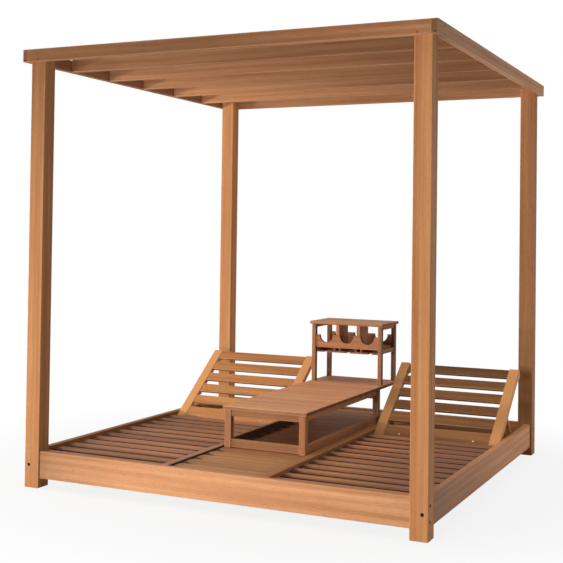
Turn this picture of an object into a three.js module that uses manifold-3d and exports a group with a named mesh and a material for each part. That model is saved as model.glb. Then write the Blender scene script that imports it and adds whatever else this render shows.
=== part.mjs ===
import * as THREE from "three";
import { mergeVertices } from "three/addons/utils/BufferGeometryUtils.js";
import Module from "manifold-3d";

const wasm = await Module();
wasm.setup();

// Garden daybed under a slatted canopy: two lounging bays with reclining backs,
// and between them a sliding table that carries a bottle and stemware rack.
// Millimetres. X runs to the right, Y to the back, Z up, and the floor is Z = 0.

// Posts and overall plan
const plan_width = 2020;
const plan_depth = 2020;
const post_side = 80;
const post_height = 2104;

// Base rails and the bolts that hold them to the posts
const rail_inset = 10;
const rail_thick = 30;
const rail_bottom = 46;
const rail_top = 176;
const bolt_head_radius = 8;
const bolt_head_depth = 12;
const bolt_shank_radius = 4;
const bolt_grip = 65;
const lower_bolt_rise = 32;
const middle_bolt_rise = 64;
const upper_bolt_drop = 33;

// Two rails that part the middle aisle from the lounging bays
const aisle_half = 234;
const mid_rail_thick = 38;
const mid_rail_height = 100;

// Slatted decks, set a little below the rails' tops
const deck_drop = 16;
const slat_thick = 18;
const slat_width = 82;
const slat_gap = 24;
const first_slat_setback = 13;
const deck_back_gap = 30;
const middle_deck_rise = 8;
const middle_slat_gap = 2;
const middle_corner_cut = 12;
const middle_end_gap = 6;
const slat_end_gap = 1;
const bearer_width = 25;
const bearer_height = 30;

// Reclining backs
const rest_angle = THREE.MathUtils.degToRad(36.7);
const back_rear_gap = 48;
const stile_gap = 4;
const stile_width = 55;
const stile_thick = 30;
const stile_foot = 20;
const stile_top = 568;
const beak_length = 90;
const beak_nose = 30;
const beak_depth = 14;
const back_slat_count = 5;
const back_slat_width = 64;
const back_slat_thick = 13;
const back_slat_recess = 2;
const top_slat_inset = 7;
const bottom_board_width = 82;
const bottom_board_foot = 8.5;
const tenon_length = 15;
const tenon_shoulder = 3;
const fit_gap = 0.3;

// Pivot bolts of the backs
const pivot_radius = 5;
const pivot_head_radius = 8;
const pivot_head_thick = 6;
const pivot_reach = 22;

// Prop frames under the backs, and the notched strips that they rest over
const prop_hinge_along = 222;
const prop_length_share = 5 / 6;
const prop_bar_radius = 9;
const prop_leg_thick = 20;
const prop_leg_half = 8;
const prop_leg_inset = 2;
const prop_pin_radius = 5;
const prop_pin_length = 20;
const lug_thick = 20;
const lug_radius = 9;
const lug_gap = 3;
const run_gap = 1;
const bar_dip = 4.5;
const strip_width = 26;
const strip_lead = 9;
const strip_past_stile = 4;
const landing_lead = 6;
const notch_radius = 10;
const notch_degrees = [12, 24, 36.7, 45];

// Sliding table in the aisle
const table_side_gap = 6;
const table_rear_gap = 85;
const table_length = 1345;
const table_height = 208;
const plank_thick = 18;
const plank_count = 14;
const plank_gap = 4;
const batten_width = 45;
const batten_thick = 20;
const batten_leg_gap = 13.5;
const batten_front_inset = 35;
const batten_rear_inset = 15;
const table_leg_side = 34;
const table_leg_inset = 8;
const rear_leg_inset = 288;
const table_rail_thick = 20;
const side_apron_drop = 28;
const front_apron_drop = 33;
const low_rail_clearance = 4;
const low_rail_height = 41;
const rear_apron_height = 33;

// Bottle and stemware rack on the table
const rack_side_inset = 2;
const rack_overhang = 1;
const rack_depth = 281;
const rack_height = 351;
const rack_top_thick = 18;
const rack_moulding = 6;
const rack_moulding_inset = 8;
const rack_leg_side = 29;
const rack_leg_face = 23;
const rack_leg_side_inset = 9;
const rack_leg_end_inset = 12;
const rack_rail_thick = 15;
const rack_side_rail_height = 23;
const rack_side_rail_lap = 1;
const rack_upper_rail_height = 20;
const bottle_board_thick = 18;
const bottle_board_rise = 198;
const bottle_board_height = 74;
const bottle_radius = 41;
const bottle_margin = 25;
const bottle_rise = 4;
const shelf_thick = 12;
const divider_thick = 20;
const divider_length = 140;
const stem_web_thick = 9;
const stem_web_near = 50;
const stem_web_far = 83;
const stem_flange_drop = 29;
const stem_flange_thick = 10;
const stem_slot_width = 24;
const stem_end_web_thick = 8;

// Canopy, whose boards stand a little above the posts
const canopy_rise = 6;
const canopy_height = 60;
const canopy_board_thick = 30;
const rafter_thick = 28;
const rafter_count = 5;

// Overrun of cutters, and sides of round pieces
const overrun = 2;
const round_sides = 24;
const curve_steps = 6;

// Places that follow from the sizes above
const post_outer_x = plan_width / 2;
const post_outer_y = plan_depth / 2;
const post_inner_x = post_outer_x - post_side;
const post_inner_y = post_outer_y - post_side;
const rail_outer_x = post_outer_x - rail_inset;
const rail_outer_y = post_outer_y - rail_inset;
const rail_inner_x = rail_outer_x - rail_thick;
const rail_inner_y = rail_outer_y - rail_thick;
const bay_inner_x = aisle_half + mid_rail_thick;
const bay_middle_x = (bay_inner_x + rail_inner_x) / 2;
const lower_bolt_height = rail_bottom + lower_bolt_rise;
const middle_bolt_height = rail_bottom + middle_bolt_rise;
const upper_bolt_height = rail_top - upper_bolt_drop;
const mid_rail_bottom = rail_top - mid_rail_height;
const deck_top = rail_top - deck_drop;
const deck_underside = deck_top - slat_thick;
const pivot_y = rail_inner_y - back_rear_gap - stile_top;
const slat_pitch = slat_width + slat_gap;
const middle_deck_top = deck_top + middle_deck_rise;
const middle_deck_underside = middle_deck_top - slat_thick;
const bay_front = -rail_inner_y + first_slat_setback;
const bay_run = pivot_y - stile_foot - deck_back_gap - bay_front;
const bay_slat_count = Math.floor((bay_run + slat_gap) / slat_pitch);
const bay_rear = bay_front + bay_slat_count * slat_pitch - slat_gap;
const half_stile = stile_thick / 2;
const beak_start = stile_top - beak_length;
const beak_peak = stile_top - beak_nose;
const back_board_run = stile_top - top_slat_inset + bottom_board_foot - bottom_board_width;
const back_slat_gap = back_board_run / back_slat_count - back_slat_width;
const pivot_z = deck_top - half_stile;
const stile_outer_reach = rail_inner_x - stile_gap - bay_middle_x;
const stile_inner_reach = stile_outer_reach - stile_width;
const prop_length = prop_hinge_along * prop_length_share;
const prop_hinge_back = half_stile + run_gap + prop_leg_half;
const bar_drop = half_stile + run_gap + prop_bar_radius;
const strip_crest = pivot_z - bar_drop - prop_bar_radius - bar_dip - run_gap;
const landing_top = pivot_z - half_stile - beak_depth - fit_gap;
const strip_front = pivot_y + prop_hinge_along + strip_lead;
const strip_rear = pivot_y + stile_top + strip_past_stile;
const landing_front = pivot_y + beak_start - landing_lead;
const table_half = aisle_half - table_side_gap;
const table_rear = rail_inner_y - table_rear_gap;
const table_front = table_rear - table_length;
const table_foot = middle_deck_top + fit_gap;
const table_top = middle_deck_top + table_height;
const table_underside = table_top - plank_thick;
const table_leg_outer = table_half - table_leg_inset;
const table_leg_inner = table_leg_outer - table_leg_side;
const table_leg_front = table_front + table_leg_inset;
const table_leg_rear = table_rear - rear_leg_inset;
const low_rail_bottom = middle_deck_top + low_rail_clearance;
const low_rail_top = low_rail_bottom + low_rail_height;
const batten_bottom = table_underside - batten_thick;
const batten_middle_x = table_leg_inner - batten_leg_gap - batten_width / 2;
const rack_half = table_half - rack_side_inset;
const rack_rear = table_rear + rack_overhang;
const rack_front = rack_rear - rack_depth;
const rack_top = table_top + rack_height;
const rack_underside = rack_top - rack_top_thick;
const rack_leg_outer = rack_half - rack_leg_side_inset;
const rack_leg_inner = rack_leg_outer - rack_leg_face;
const rack_leg_front = rack_front + rack_leg_end_inset;
const rack_leg_rear = rack_rear - rack_leg_end_inset;
const bottle_board_bottom = table_top + bottle_board_rise;
const bottle_board_top = bottle_board_bottom + bottle_board_height;
const bottle_spacing = rack_leg_inner - bottle_margin - bottle_radius;
const rack_side_rail_top = bottle_board_bottom + rack_side_rail_lap;
const rack_side_rail_bottom = rack_side_rail_top - rack_side_rail_height;
const stem_flange_bottom = bottle_board_bottom - stem_flange_drop;
const canopy_top = post_height + canopy_rise;
const canopy_bottom = canopy_top - canopy_height;

// Materials

function wood(name, colour) {
  return new THREE.MeshStandardMaterial({ name, color: colour, roughness: 0.6, metalness: 0 });
}

const post_wood = wood("post_wood", 0xb9834f);
const rail_wood = wood("rail_wood", 0xc48d5b);
const deck_wood = wood("deck_wood", 0xb07b58);
const back_wood = wood("back_wood", 0xc0813f);
const slat_wood = wood("slat_wood", 0xa66c3e);
const table_wood = wood("table_wood", 0xb98457);
const rack_wood = wood("rack_wood", 0xa87350);
const steel = new THREE.MeshStandardMaterial({
  name: "steel", color: 0xa8a49c, roughness: 0.35, metalness: 1,
});

// Shapes

function end_of(span, direction) {
  return direction > 0 ? Math.max(...span) : Math.min(...span);
}

// A block whose corners are the ends of its spans, so that blocks that share a face
// meet without a gap
function block(x_span, y_span, z_span) {
  const shape = new THREE.BoxGeometry();
  const corners = shape.attributes.position;
  for (let index = 0; index < corners.count; index += 1) {
    corners.setXYZ(
      index,
      end_of(x_span, corners.getX(index)),
      end_of(y_span, corners.getY(index)),
      end_of(z_span, corners.getZ(index)));
  }
  return shape;
}

function rod_along_x([xa, xb], y, z, radius) {
  const shape = new THREE.CylinderGeometry(radius, radius, Math.abs(xb - xa), round_sides);
  return shape.rotateZ(Math.PI / 2).translate((xa + xb) / 2, y, z);
}

function rod_along_y(x, [ya, yb], z, radius) {
  const shape = new THREE.CylinderGeometry(radius, radius, Math.abs(yb - ya), round_sides);
  return shape.translate(x, (ya + yb) / 2, z);
}

// An outline drawn in the YZ plane and drawn out along X
function plate_along_x(outline, [xa, xb]) {
  const settings = { depth: Math.abs(xb - xa), bevelEnabled: false, curveSegments: curve_steps };
  const shape = new THREE.ExtrudeGeometry(outline, settings);
  const turn = new THREE.Matrix4().makeBasis(
    new THREE.Vector3(0, 1, 0), new THREE.Vector3(0, 0, 1), new THREE.Vector3(1, 0, 0));
  return shape.applyMatrix4(turn).translate(Math.min(xa, xb), 0, 0);
}

function solid_of(geometry) {
  const plain = geometry.clone();
  plain.deleteAttribute("normal");
  plain.deleteAttribute("uv");
  const merged = mergeVertices(plain);
  return new wasm.Manifold(new wasm.Mesh({
    numProp: merged.attributes.position.itemSize,
    vertProperties: merged.attributes.position.array,
    triVerts: new Uint32Array(merged.index.array),
  }));
}

function geometry_of(solid) {
  const mesh = solid.getMesh();
  const geometry = new THREE.BufferGeometry();
  geometry.setAttribute("position", new THREE.BufferAttribute(mesh.vertProperties, mesh.numProp));
  geometry.setIndex(new THREE.BufferAttribute(mesh.triVerts, 1));
  geometry.computeVertexNormals();
  return geometry;
}

// One body from pieces that join, less the pieces that are cut away
function carve(joined, cut_away = []) {
  let solid = solid_of(joined[0]);
  for (const piece of joined.slice(1)) {
    solid = solid.add(solid_of(piece));
  }
  for (const piece of cut_away) {
    solid = solid.subtract(solid_of(piece));
  }
  return geometry_of(solid);
}

function add_piece(parent, name, geometry, material) {
  const mesh = new THREE.Mesh(geometry, material);
  mesh.name = name;
  parent.add(mesh);
}

const sides = [
  { name: "left", sign: -1 },
  { name: "right", sign: 1 },
];
const ends = [
  { name: "front", sign: -1 },
  { name: "rear", sign: 1 },
];

// Posts, each with three bolt holes that open on its outer faces

function bolt_hole_along_x(side, outer_x, inner_x, y, z) {
  const head = [side * (outer_x - bolt_head_depth), side * (outer_x + overrun)];
  const shank = [side * inner_x, side * outer_x];
  return [
    rod_along_x(head, y, z, bolt_head_radius),
    rod_along_x(shank, y, z, bolt_shank_radius),
  ];
}

function bolt_hole_along_y(end, outer_y, inner_y, x, z) {
  const head = [end * (outer_y - bolt_head_depth), end * (outer_y + overrun)];
  const shank = [end * inner_y, end * outer_y];
  return [
    rod_along_y(x, head, z, bolt_head_radius),
    rod_along_y(x, shank, z, bolt_shank_radius),
  ];
}

function post_geometry(side, end) {
  const whole = block(
    [side * post_inner_x, side * post_outer_x],
    [end * post_inner_y, end * post_outer_y],
    [0, post_height]);
  const rail_y = end * (rail_outer_y - rail_thick / 2);
  const rail_x = side * (rail_outer_x - rail_thick / 2);
  const through_x = post_inner_x - overrun;
  const through_y = post_inner_y - overrun;
  return carve([whole], [
    ...bolt_hole_along_x(side, post_outer_x, through_x, rail_y, lower_bolt_height),
    ...bolt_hole_along_x(side, post_outer_x, through_x, rail_y, upper_bolt_height),
    ...bolt_hole_along_y(end, post_outer_y, through_y, rail_x, middle_bolt_height),
  ]);
}

// Base rails, with bolt holes in their end grain

function cross_rail_geometry(end) {
  const middle_y = end * (rail_outer_y - rail_thick / 2);
  const whole = block(
    [-post_inner_x, post_inner_x],
    [end * rail_inner_y, end * rail_outer_y],
    [rail_bottom, rail_top]);
  const holes = [];
  for (const { sign } of sides) {
    const reach = [sign * (post_inner_x - bolt_grip), sign * (post_inner_x + overrun)];
    holes.push(rod_along_x(reach, middle_y, lower_bolt_height, bolt_shank_radius));
    holes.push(rod_along_x(reach, middle_y, upper_bolt_height, bolt_shank_radius));
  }
  return carve([whole], holes);
}

function side_rail_geometry(side) {
  const middle_x = side * (rail_outer_x - rail_thick / 2);
  const whole = block(
    [side * rail_inner_x, side * rail_outer_x],
    [-post_inner_y, post_inner_y],
    [rail_bottom, rail_top]);
  const holes = ends.map(({ sign }) => {
    const reach = [sign * (post_inner_y - bolt_grip), sign * (post_inner_y + overrun)];
    return rod_along_y(middle_x, reach, middle_bolt_height, bolt_shank_radius);
  });
  holes.push(pivot_bore(side * rail_inner_x, side));
  return carve([whole], holes);
}

function mid_rail_geometry(side) {
  const whole = block(
    [side * aisle_half, side * bay_inner_x],
    [-rail_inner_y, rail_inner_y],
    [mid_rail_bottom, rail_top]);
  return carve([whole], [pivot_bore(side * bay_inner_x, -side)]);
}

// The bore that takes a pivot bolt's end, from a rail's face into its wood
function pivot_bore(face_x, direction) {
  const deep = face_x + direction * (pivot_reach - stile_gap + fit_gap);
  const span = [face_x - direction * overrun, deep];
  return rod_along_x(span, pivot_y, pivot_z, pivot_radius + fit_gap);
}

// Decks, each one panel of slats on two bearers

function slat_row(x_span, front, count, width, gap) {
  const slats = [];
  for (let index = 0; index < count; index += 1) {
    const start = front + index * (width + gap);
    slats.push(block(x_span, [start, start + width], [deck_underside, deck_top]));
  }
  return slats;
}

// A bearer against a rail's face, with its top under the slats
function bearer(face_x, direction, y_span, top) {
  return block(
    [face_x, face_x + direction * bearer_width], y_span,
    [top - bearer_height, top]);
}

function bay_deck_geometry(side) {
  const span = [side * (bay_inner_x + slat_end_gap), side * (rail_inner_x - slat_end_gap)];
  const slats = slat_row(span, bay_front, bay_slat_count, slat_width, slat_gap);
  const post_front = -post_inner_y + slat_end_gap;
  const notch = block(
    [side * (post_inner_x - slat_end_gap), side * post_outer_x],
    [-post_outer_y, post_front],
    [0, deck_top + overrun]);
  return carve([
    bearer(side * bay_inner_x, side, [bay_front, bay_rear], deck_underside),
    bearer(side * rail_inner_x, -side, [bay_front, bay_rear], deck_underside),
    ...slats,
  ], [notch]);
}

// A plank of the middle aisle. Its corners are cut off, which leaves a notch at each end
// of the joint between two planks.
function aisle_plank([xa, xb], [ya, yb]) {
  const cut = middle_corner_cut;
  const outline = new THREE.Shape([
    new THREE.Vector2(xa + cut, ya),
    new THREE.Vector2(xb - cut, ya),
    new THREE.Vector2(xb, ya + cut),
    new THREE.Vector2(xb, yb - cut),
    new THREE.Vector2(xb - cut, yb),
    new THREE.Vector2(xa + cut, yb),
    new THREE.Vector2(xa, yb - cut),
    new THREE.Vector2(xa, ya + cut),
  ]);
  const plank = new THREE.ExtrudeGeometry(outline, { depth: slat_thick, bevelEnabled: false });
  return plank.translate(0, 0, middle_deck_underside);
}

// The aisle's planks keep the bays' step, so their joints lie in line with the bays' gaps
function middle_deck_geometry() {
  const x_span = [-aisle_half + middle_end_gap, aisle_half - middle_end_gap];
  const y_span = [-rail_inner_y, rail_inner_y];
  const front = bay_front - (slat_gap - middle_slat_gap) / 2;
  const run = rail_inner_y - slat_end_gap - front;
  const count = Math.floor((run + middle_slat_gap) / slat_pitch);
  const planks = [];
  for (let index = 0; index < count; index += 1) {
    const start = front + index * slat_pitch;
    planks.push(aisle_plank(x_span, [start, start + slat_pitch - middle_slat_gap]));
  }
  return carve([
    bearer(-aisle_half, 1, y_span, middle_deck_underside),
    bearer(aisle_half, -1, y_span, middle_deck_underside),
    ...planks,
  ]);
}

// Backs. In a back's own group Y runs up along the stile and Z points to its front.

function stile_outline() {
  const shape = new THREE.Shape();
  const foot_centre = half_stile - stile_foot;
  const peak = -half_stile - beak_depth;
  const ramp = (beak_start + beak_peak) / 2;
  shape.moveTo(foot_centre, -half_stile);
  shape.lineTo(beak_start, -half_stile);
  shape.bezierCurveTo(ramp, -half_stile, ramp, peak, beak_peak, peak);
  shape.quadraticCurveTo(stile_top, peak, stile_top, -half_stile / 2);
  shape.lineTo(stile_top, half_stile);
  shape.lineTo(foot_centre, half_stile);
  shape.absarc(foot_centre, 0, half_stile, Math.PI / 2, 1.5 * Math.PI, false);
  return shape;
}

function back_board_spans() {
  const spans = [];
  let top = stile_top - top_slat_inset;
  for (let index = 0; index < back_slat_count; index += 1) {
    spans.unshift([top - back_slat_width, top]);
    top -= back_slat_width + back_slat_gap;
  }
  spans.unshift([top - bottom_board_width, top]);
  return spans;
}

const back_front_z = half_stile - back_slat_recess;
const back_rear_z = back_front_z - back_slat_thick;

// A tenon's place along the stile: the bottom board's stops above the pivot bolt
function tenon_span(span) {
  const start = Math.max(span[0], pivot_head_radius) + tenon_shoulder;
  return [start, span[1] - tenon_shoulder];
}

function mortise(span, x_span) {
  const [start, end] = tenon_span(span);
  return block(
    x_span, [start - fit_gap, end + fit_gap],
    [back_rear_z + tenon_shoulder - fit_gap, back_front_z - tenon_shoulder + fit_gap]);
}

// The place of a back's parts across its bay: outward is +1 for the stile beside the
// outer rail and -1 for the one beside the aisle
function across(side, outward, reach) {
  return side * (bay_middle_x + outward * reach);
}

function prop_lug(side, outward) {
  const outer = stile_outer_reach - prop_leg_inset - prop_leg_thick - lug_gap;
  const span = [across(side, outward, outer - lug_thick), across(side, outward, outer)];
  const arm = block(
    span,
    [prop_hinge_along - lug_radius, prop_hinge_along + lug_radius],
    [-prop_hinge_back, 0]);
  return [arm, rod_along_x(span, prop_hinge_along, -prop_hinge_back, lug_radius)];
}

function stile_geometry(side, outward) {
  const inner = across(side, outward, stile_inner_reach);
  const outer = across(side, outward, stile_outer_reach);
  const inward = Math.sign(inner - outer);
  const holes = back_board_spans().map((span) => {
    const deep = inner - inward * (tenon_length + fit_gap);
    return mortise(span, [deep, inner + inward * overrun]);
  });
  const pin_span = [inner + inward * overrun, outer - inward * overrun];
  holes.push(rod_along_x(pin_span, 0, 0, pivot_radius + fit_gap));
  const head_deep = inner - inward * (pivot_head_thick + fit_gap);
  const head_radius = pivot_head_radius + fit_gap;
  holes.push(rod_along_x([inner + inward * overrun, head_deep], 0, 0, head_radius));
  holes.push(rod_along_x(pin_span, prop_hinge_along, -prop_hinge_back, prop_pin_radius + fit_gap));
  const body = plate_along_x(stile_outline(), [inner, outer]);
  return carve([body, ...prop_lug(side, outward)], holes);
}

function back_slat_geometry(side, span) {
  const shoulder = stile_inner_reach - fit_gap;
  const end = stile_inner_reach + tenon_length;
  const body = block(
    [across(side, -1, shoulder), across(side, 1, shoulder)], span, [back_rear_z, back_front_z]);
  const tenons = block(
    [across(side, -1, end), across(side, 1, end)],
    tenon_span(span),
    [back_rear_z + tenon_shoulder, back_front_z - tenon_shoulder]);
  return carve([body, tenons]);
}

// Pivot bolt, from its head in the stile's counterbore to its end in the rail
function pivot_bolt_geometry(side, outward) {
  const inner = across(side, outward, stile_inner_reach);
  const outward_x = side * outward;
  const face = inner + outward_x * pivot_head_thick;
  const tip = across(side, outward, stile_outer_reach) + outward_x * pivot_reach;
  return carve([
    rod_along_x([inner, face], pivot_y, pivot_z, pivot_head_radius),
    rod_along_x([inner, tip], pivot_y, pivot_z, pivot_radius),
  ]);
}

// Prop frames

// The prop's slope below the level when its back stands at an angle and its bar lies
// at the bar's height
function prop_slope(angle) {
  const rise = prop_hinge_along * Math.sin(angle) - prop_hinge_back * Math.cos(angle);
  return Math.asin((rise + bar_drop) / prop_length);
}

// A leg lies along Y in the prop's own group, from its pin at the origin to the bar
function prop_leg_outline() {
  const shape = new THREE.Shape();
  shape.moveTo(0, -prop_leg_half);
  shape.lineTo(prop_length, -prop_leg_half);
  shape.absarc(prop_length, 0, prop_leg_half, -Math.PI / 2, Math.PI / 2, false);
  shape.lineTo(0, prop_leg_half);
  shape.absarc(0, 0, prop_leg_half, Math.PI / 2, 1.5 * Math.PI, false);
  return shape;
}

function prop_frame_geometry(side) {
  const leg_outer = stile_outer_reach - prop_leg_inset;
  const leg_inner = leg_outer - prop_leg_thick;
  const pieces = [];
  for (const outward of [-1, 1]) {
    const outer = across(side, outward, leg_outer);
    const inner = across(side, outward, leg_inner);
    const pin_tip = across(side, outward, leg_inner - prop_pin_length);
    pieces.push(plate_along_x(prop_leg_outline(), [inner, outer]));
    pieces.push(rod_along_x([pin_tip, outer], 0, 0, prop_pin_radius));
  }
  const bar = [across(side, -1, leg_outer), across(side, 1, leg_outer)];
  pieces.push(rod_along_x(bar, prop_length, 0, prop_bar_radius));
  return carve(pieces);
}

// Notched strip on a rail's inner face: notches for the raised places, and at the
// back a raised landing under the beak of the stile when the back lies flat

function bar_y_at(angle) {
  const run = prop_hinge_along * Math.cos(angle) + prop_hinge_back * Math.sin(angle);
  return pivot_y + run + prop_length * Math.cos(prop_slope(angle));
}

function strip_geometry(side, outward) {
  const face = across(side, outward, rail_inner_x - bay_middle_x);
  const edge = face - side * outward * strip_width;
  const body = block([face, edge], [strip_front, strip_rear], [mid_rail_bottom, strip_crest]);
  const landing = block([face, edge], [landing_front, strip_rear], [mid_rail_bottom, landing_top]);
  const through = [face + side * outward * overrun, edge - side * outward * overrun];
  const notches = notch_degrees.map((degrees) => {
    const y = bar_y_at(THREE.MathUtils.degToRad(degrees));
    return rod_along_x(through, y, strip_crest, notch_radius);
  });
  return carve([body, landing], notches);
}

function add_bay(parent, { name, sign }) {
  add_piece(parent, `deck_${name}`, bay_deck_geometry(sign), deck_wood);
  const back = new THREE.Group();
  back.position.set(0, pivot_y, pivot_z);
  back.rotation.x = rest_angle;
  parent.add(back);
  for (const [place, outward] of [["inner", -1], ["outer", 1]]) {
    const stile = stile_geometry(sign, outward);
    add_piece(back, `backrest_${name}_stile_${place}`, stile, back_wood);
    const bolt = pivot_bolt_geometry(sign, outward);
    add_piece(parent, `pivot_bolt_${name}_${place}`, bolt, steel);
    const strip = strip_geometry(sign, outward);
    add_piece(parent, `notched_strip_${name}_${place}`, strip, rail_wood);
  }
  back_board_spans().forEach((span, index) => {
    const board = index === 0 ? "bottom_board" : `slat_${index}`;
    add_piece(back, `backrest_${name}_${board}`, back_slat_geometry(sign, span), slat_wood);
  });
  const prop = new THREE.Group();
  prop.position.set(0, prop_hinge_along, -prop_hinge_back);
  prop.rotation.x = -rest_angle - prop_slope(rest_angle);
  back.add(prop);
  add_piece(prop, `prop_frame_${name}`, prop_frame_geometry(sign), back_wood);
}

// Table

function table_top_geometry() {
  const length = table_rear - table_front;
  const width = (length - (plank_count - 1) * plank_gap) / plank_count;
  const pieces = [];
  const batten_y = [table_front + batten_front_inset, table_rear - batten_rear_inset];
  for (const centre of [-batten_middle_x, batten_middle_x]) {
    pieces.push(block(
      [centre - batten_width / 2, centre + batten_width / 2],
      batten_y,
      [batten_bottom, table_underside]));
  }
  for (let index = 0; index < plank_count; index += 1) {
    const start = table_front + index * (width + plank_gap);
    pieces.push(block(
      [-table_half, table_half], [start, start + width], [table_underside, table_top]));
  }
  return carve(pieces);
}

function table_side_geometry(side) {
  const leg_x = [side * table_leg_inner, side * table_leg_outer];
  const centre_x = side * (table_leg_outer - table_leg_side / 2);
  const rail_x = [centre_x - table_rail_thick / 2, centre_x + table_rail_thick / 2];
  const front_y = [table_leg_front, table_leg_front + table_leg_side];
  const rear_y = [table_leg_rear - table_leg_side, table_leg_rear];
  const rail_y = [front_y[1], rear_y[0]];
  const leg_z = [table_foot, table_underside];
  return carve([
    block(leg_x, front_y, leg_z),
    block(leg_x, rear_y, leg_z),
    block(rail_x, rail_y, [table_underside - side_apron_drop, table_underside]),
    block(rail_x, rail_y, [low_rail_bottom, low_rail_top]),
  ]);
}

// A rail across the table between two legs, centred on them
function table_cross_rail(leg_start, z_span) {
  const middle = leg_start + table_leg_side / 2;
  const y_span = [middle - table_rail_thick / 2, middle + table_rail_thick / 2];
  return block([-table_leg_inner, table_leg_inner], y_span, z_span);
}

function add_table(parent) {
  const rear_start = table_leg_rear - table_leg_side;
  const apron_span = [table_underside - front_apron_drop, table_underside];
  const rear_span = [batten_bottom - rear_apron_height, batten_bottom];
  const front_apron = table_cross_rail(table_leg_front, apron_span);
  const front_stretcher = table_cross_rail(table_leg_front, [low_rail_bottom, low_rail_top]);
  add_piece(parent, "table_top", table_top_geometry(), table_wood);
  add_piece(parent, "table_apron_front", front_apron, table_wood);
  add_piece(parent, "table_stretcher_front", front_stretcher, table_wood);
  add_piece(parent, "table_apron_rear", table_cross_rail(rear_start, rear_span), table_wood);
  for (const { name, sign } of sides) {
    add_piece(parent, `table_side_${name}`, table_side_geometry(sign), table_wood);
  }
}

// Rack

function rack_top_geometry() {
  const step = rack_underside + rack_moulding;
  const slab = block([-rack_half, rack_half], [rack_front, rack_rear], [step, rack_top]);
  const inset_x = rack_half - rack_moulding_inset;
  const inset_y = [rack_front + rack_moulding_inset, rack_rear - rack_moulding_inset];
  return carve([slab, block([-inset_x, inset_x], inset_y, [rack_underside, step])]);
}

function rack_side_geometry(side) {
  const leg_x = [side * rack_leg_inner, side * rack_leg_outer];
  const centre_x = side * (rack_leg_outer - rack_leg_face / 2);
  const rail_x = [centre_x - rack_rail_thick / 2, centre_x + rack_rail_thick / 2];
  const front_y = [rack_leg_front, rack_leg_front + rack_leg_side];
  const rear_y = [rack_leg_rear - rack_leg_side, rack_leg_rear];
  const rail_y = [front_y[1], rear_y[0]];
  const leg_z = [table_top, rack_underside];
  return carve([
    block(leg_x, front_y, leg_z),
    block(leg_x, rear_y, leg_z),
    block(rail_x, rail_y, [rack_side_rail_bottom, rack_side_rail_top]),
    block(rail_x, rail_y, [rack_underside - rack_upper_rail_height, rack_underside]),
  ]);
}

function bottle_board_span(leg_start) {
  const middle = leg_start + rack_leg_side / 2;
  return [middle - bottle_board_thick / 2, middle + bottle_board_thick / 2];
}

function bottle_board_geometry(leg_start) {
  const span = bottle_board_span(leg_start);
  const board = block(
    [-rack_leg_inner, rack_leg_inner], span, [bottle_board_bottom, bottle_board_top]);
  const cutter = [span[0] - overrun, span[1] + overrun];
  const cradles = [-bottle_spacing, 0, bottle_spacing].map(
    (x) => rod_along_y(x, cutter, bottle_board_top - bottle_rise, bottle_radius));
  return carve([board], cradles);
}

// Shelf between the bottle boards, with dividers above it and the rails that hold
// stemware by the foot below it
function stem_shelf_geometry() {
  const front = bottle_board_span(rack_leg_front)[1];
  const rear = bottle_board_span(rack_leg_rear - rack_leg_side)[0];
  const y_span = [front, rear];
  const shelf_top = bottle_board_bottom + shelf_thick;
  const flange_top = stem_flange_bottom + stem_flange_thick;
  const web_z = [flange_top, bottle_board_bottom];
  const flange_z = [stem_flange_bottom, flange_top];
  const far_edge = stem_web_far + stem_web_thick / 2;
  const slot_centre = (far_edge + rack_leg_inner - stem_end_web_thick) / 2;
  const half_slot = stem_slot_width / 2;
  const pieces = [
    block([-rack_leg_inner, rack_leg_inner], y_span, [bottle_board_bottom, shelf_top]),
  ];
  for (const { sign } of sides) {
    for (const x of [stem_web_near, stem_web_far]) {
      const web_x = [sign * (x - stem_web_thick / 2), sign * (x + stem_web_thick / 2)];
      pieces.push(block(web_x, y_span, web_z));
    }
    const end_web = [sign * (rack_leg_inner - stem_end_web_thick), sign * rack_leg_inner];
    pieces.push(block(end_web, y_span, web_z));
    pieces.push(block([sign * half_slot, sign * (slot_centre - half_slot)], y_span, flange_z));
    const ledge = [sign * (slot_centre + half_slot), sign * rack_leg_inner];
    pieces.push(block(ledge, y_span, flange_z));
    const divider_x = sign * bottle_spacing / 2;
    pieces.push(block(
      [divider_x - divider_thick / 2, divider_x + divider_thick / 2],
      [front, front + divider_length],
      [shelf_top, rack_underside]));
  }
  return carve(pieces);
}

function add_rack(parent) {
  const rear_start = rack_leg_rear - rack_leg_side;
  add_piece(parent, "rack_top", rack_top_geometry(), rack_wood);
  add_piece(parent, "bottle_board_front", bottle_board_geometry(rack_leg_front), rack_wood);
  add_piece(parent, "bottle_board_rear", bottle_board_geometry(rear_start), rack_wood);
  add_piece(parent, "stemware_shelf", stem_shelf_geometry(), rack_wood);
  for (const { name, sign } of sides) {
    add_piece(parent, `rack_side_${name}`, rack_side_geometry(sign), rack_wood);
  }
}

// Canopy: boards round the post tops, and rafters between the side boards

function add_canopy(parent) {
  const z_span = [canopy_bottom, canopy_top];
  const outer_x = post_outer_x + canopy_board_thick;
  const outer_y = post_outer_y + canopy_board_thick;
  for (const { name, sign } of sides) {
    const board = block([sign * post_outer_x, sign * outer_x], [-outer_y, outer_y], z_span);
    add_piece(parent, `canopy_board_${name}`, board, rail_wood);
  }
  for (const { name, sign } of ends) {
    const board = block(
      [-post_outer_x, post_outer_x], [sign * post_outer_y, sign * outer_y], z_span);
    add_piece(parent, `canopy_board_${name}`, board, rail_wood);
  }
  const pitch = plan_depth / (rafter_count + 1);
  for (let index = 1; index <= rafter_count; index += 1) {
    const middle = -post_outer_y + index * pitch;
    const y_span = [middle - rafter_thick / 2, middle + rafter_thick / 2];
    const rafter = block([-post_outer_x, post_outer_x], y_span, z_span);
    add_piece(parent, `rafter_${index}`, rafter, rail_wood);
  }
}

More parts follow.
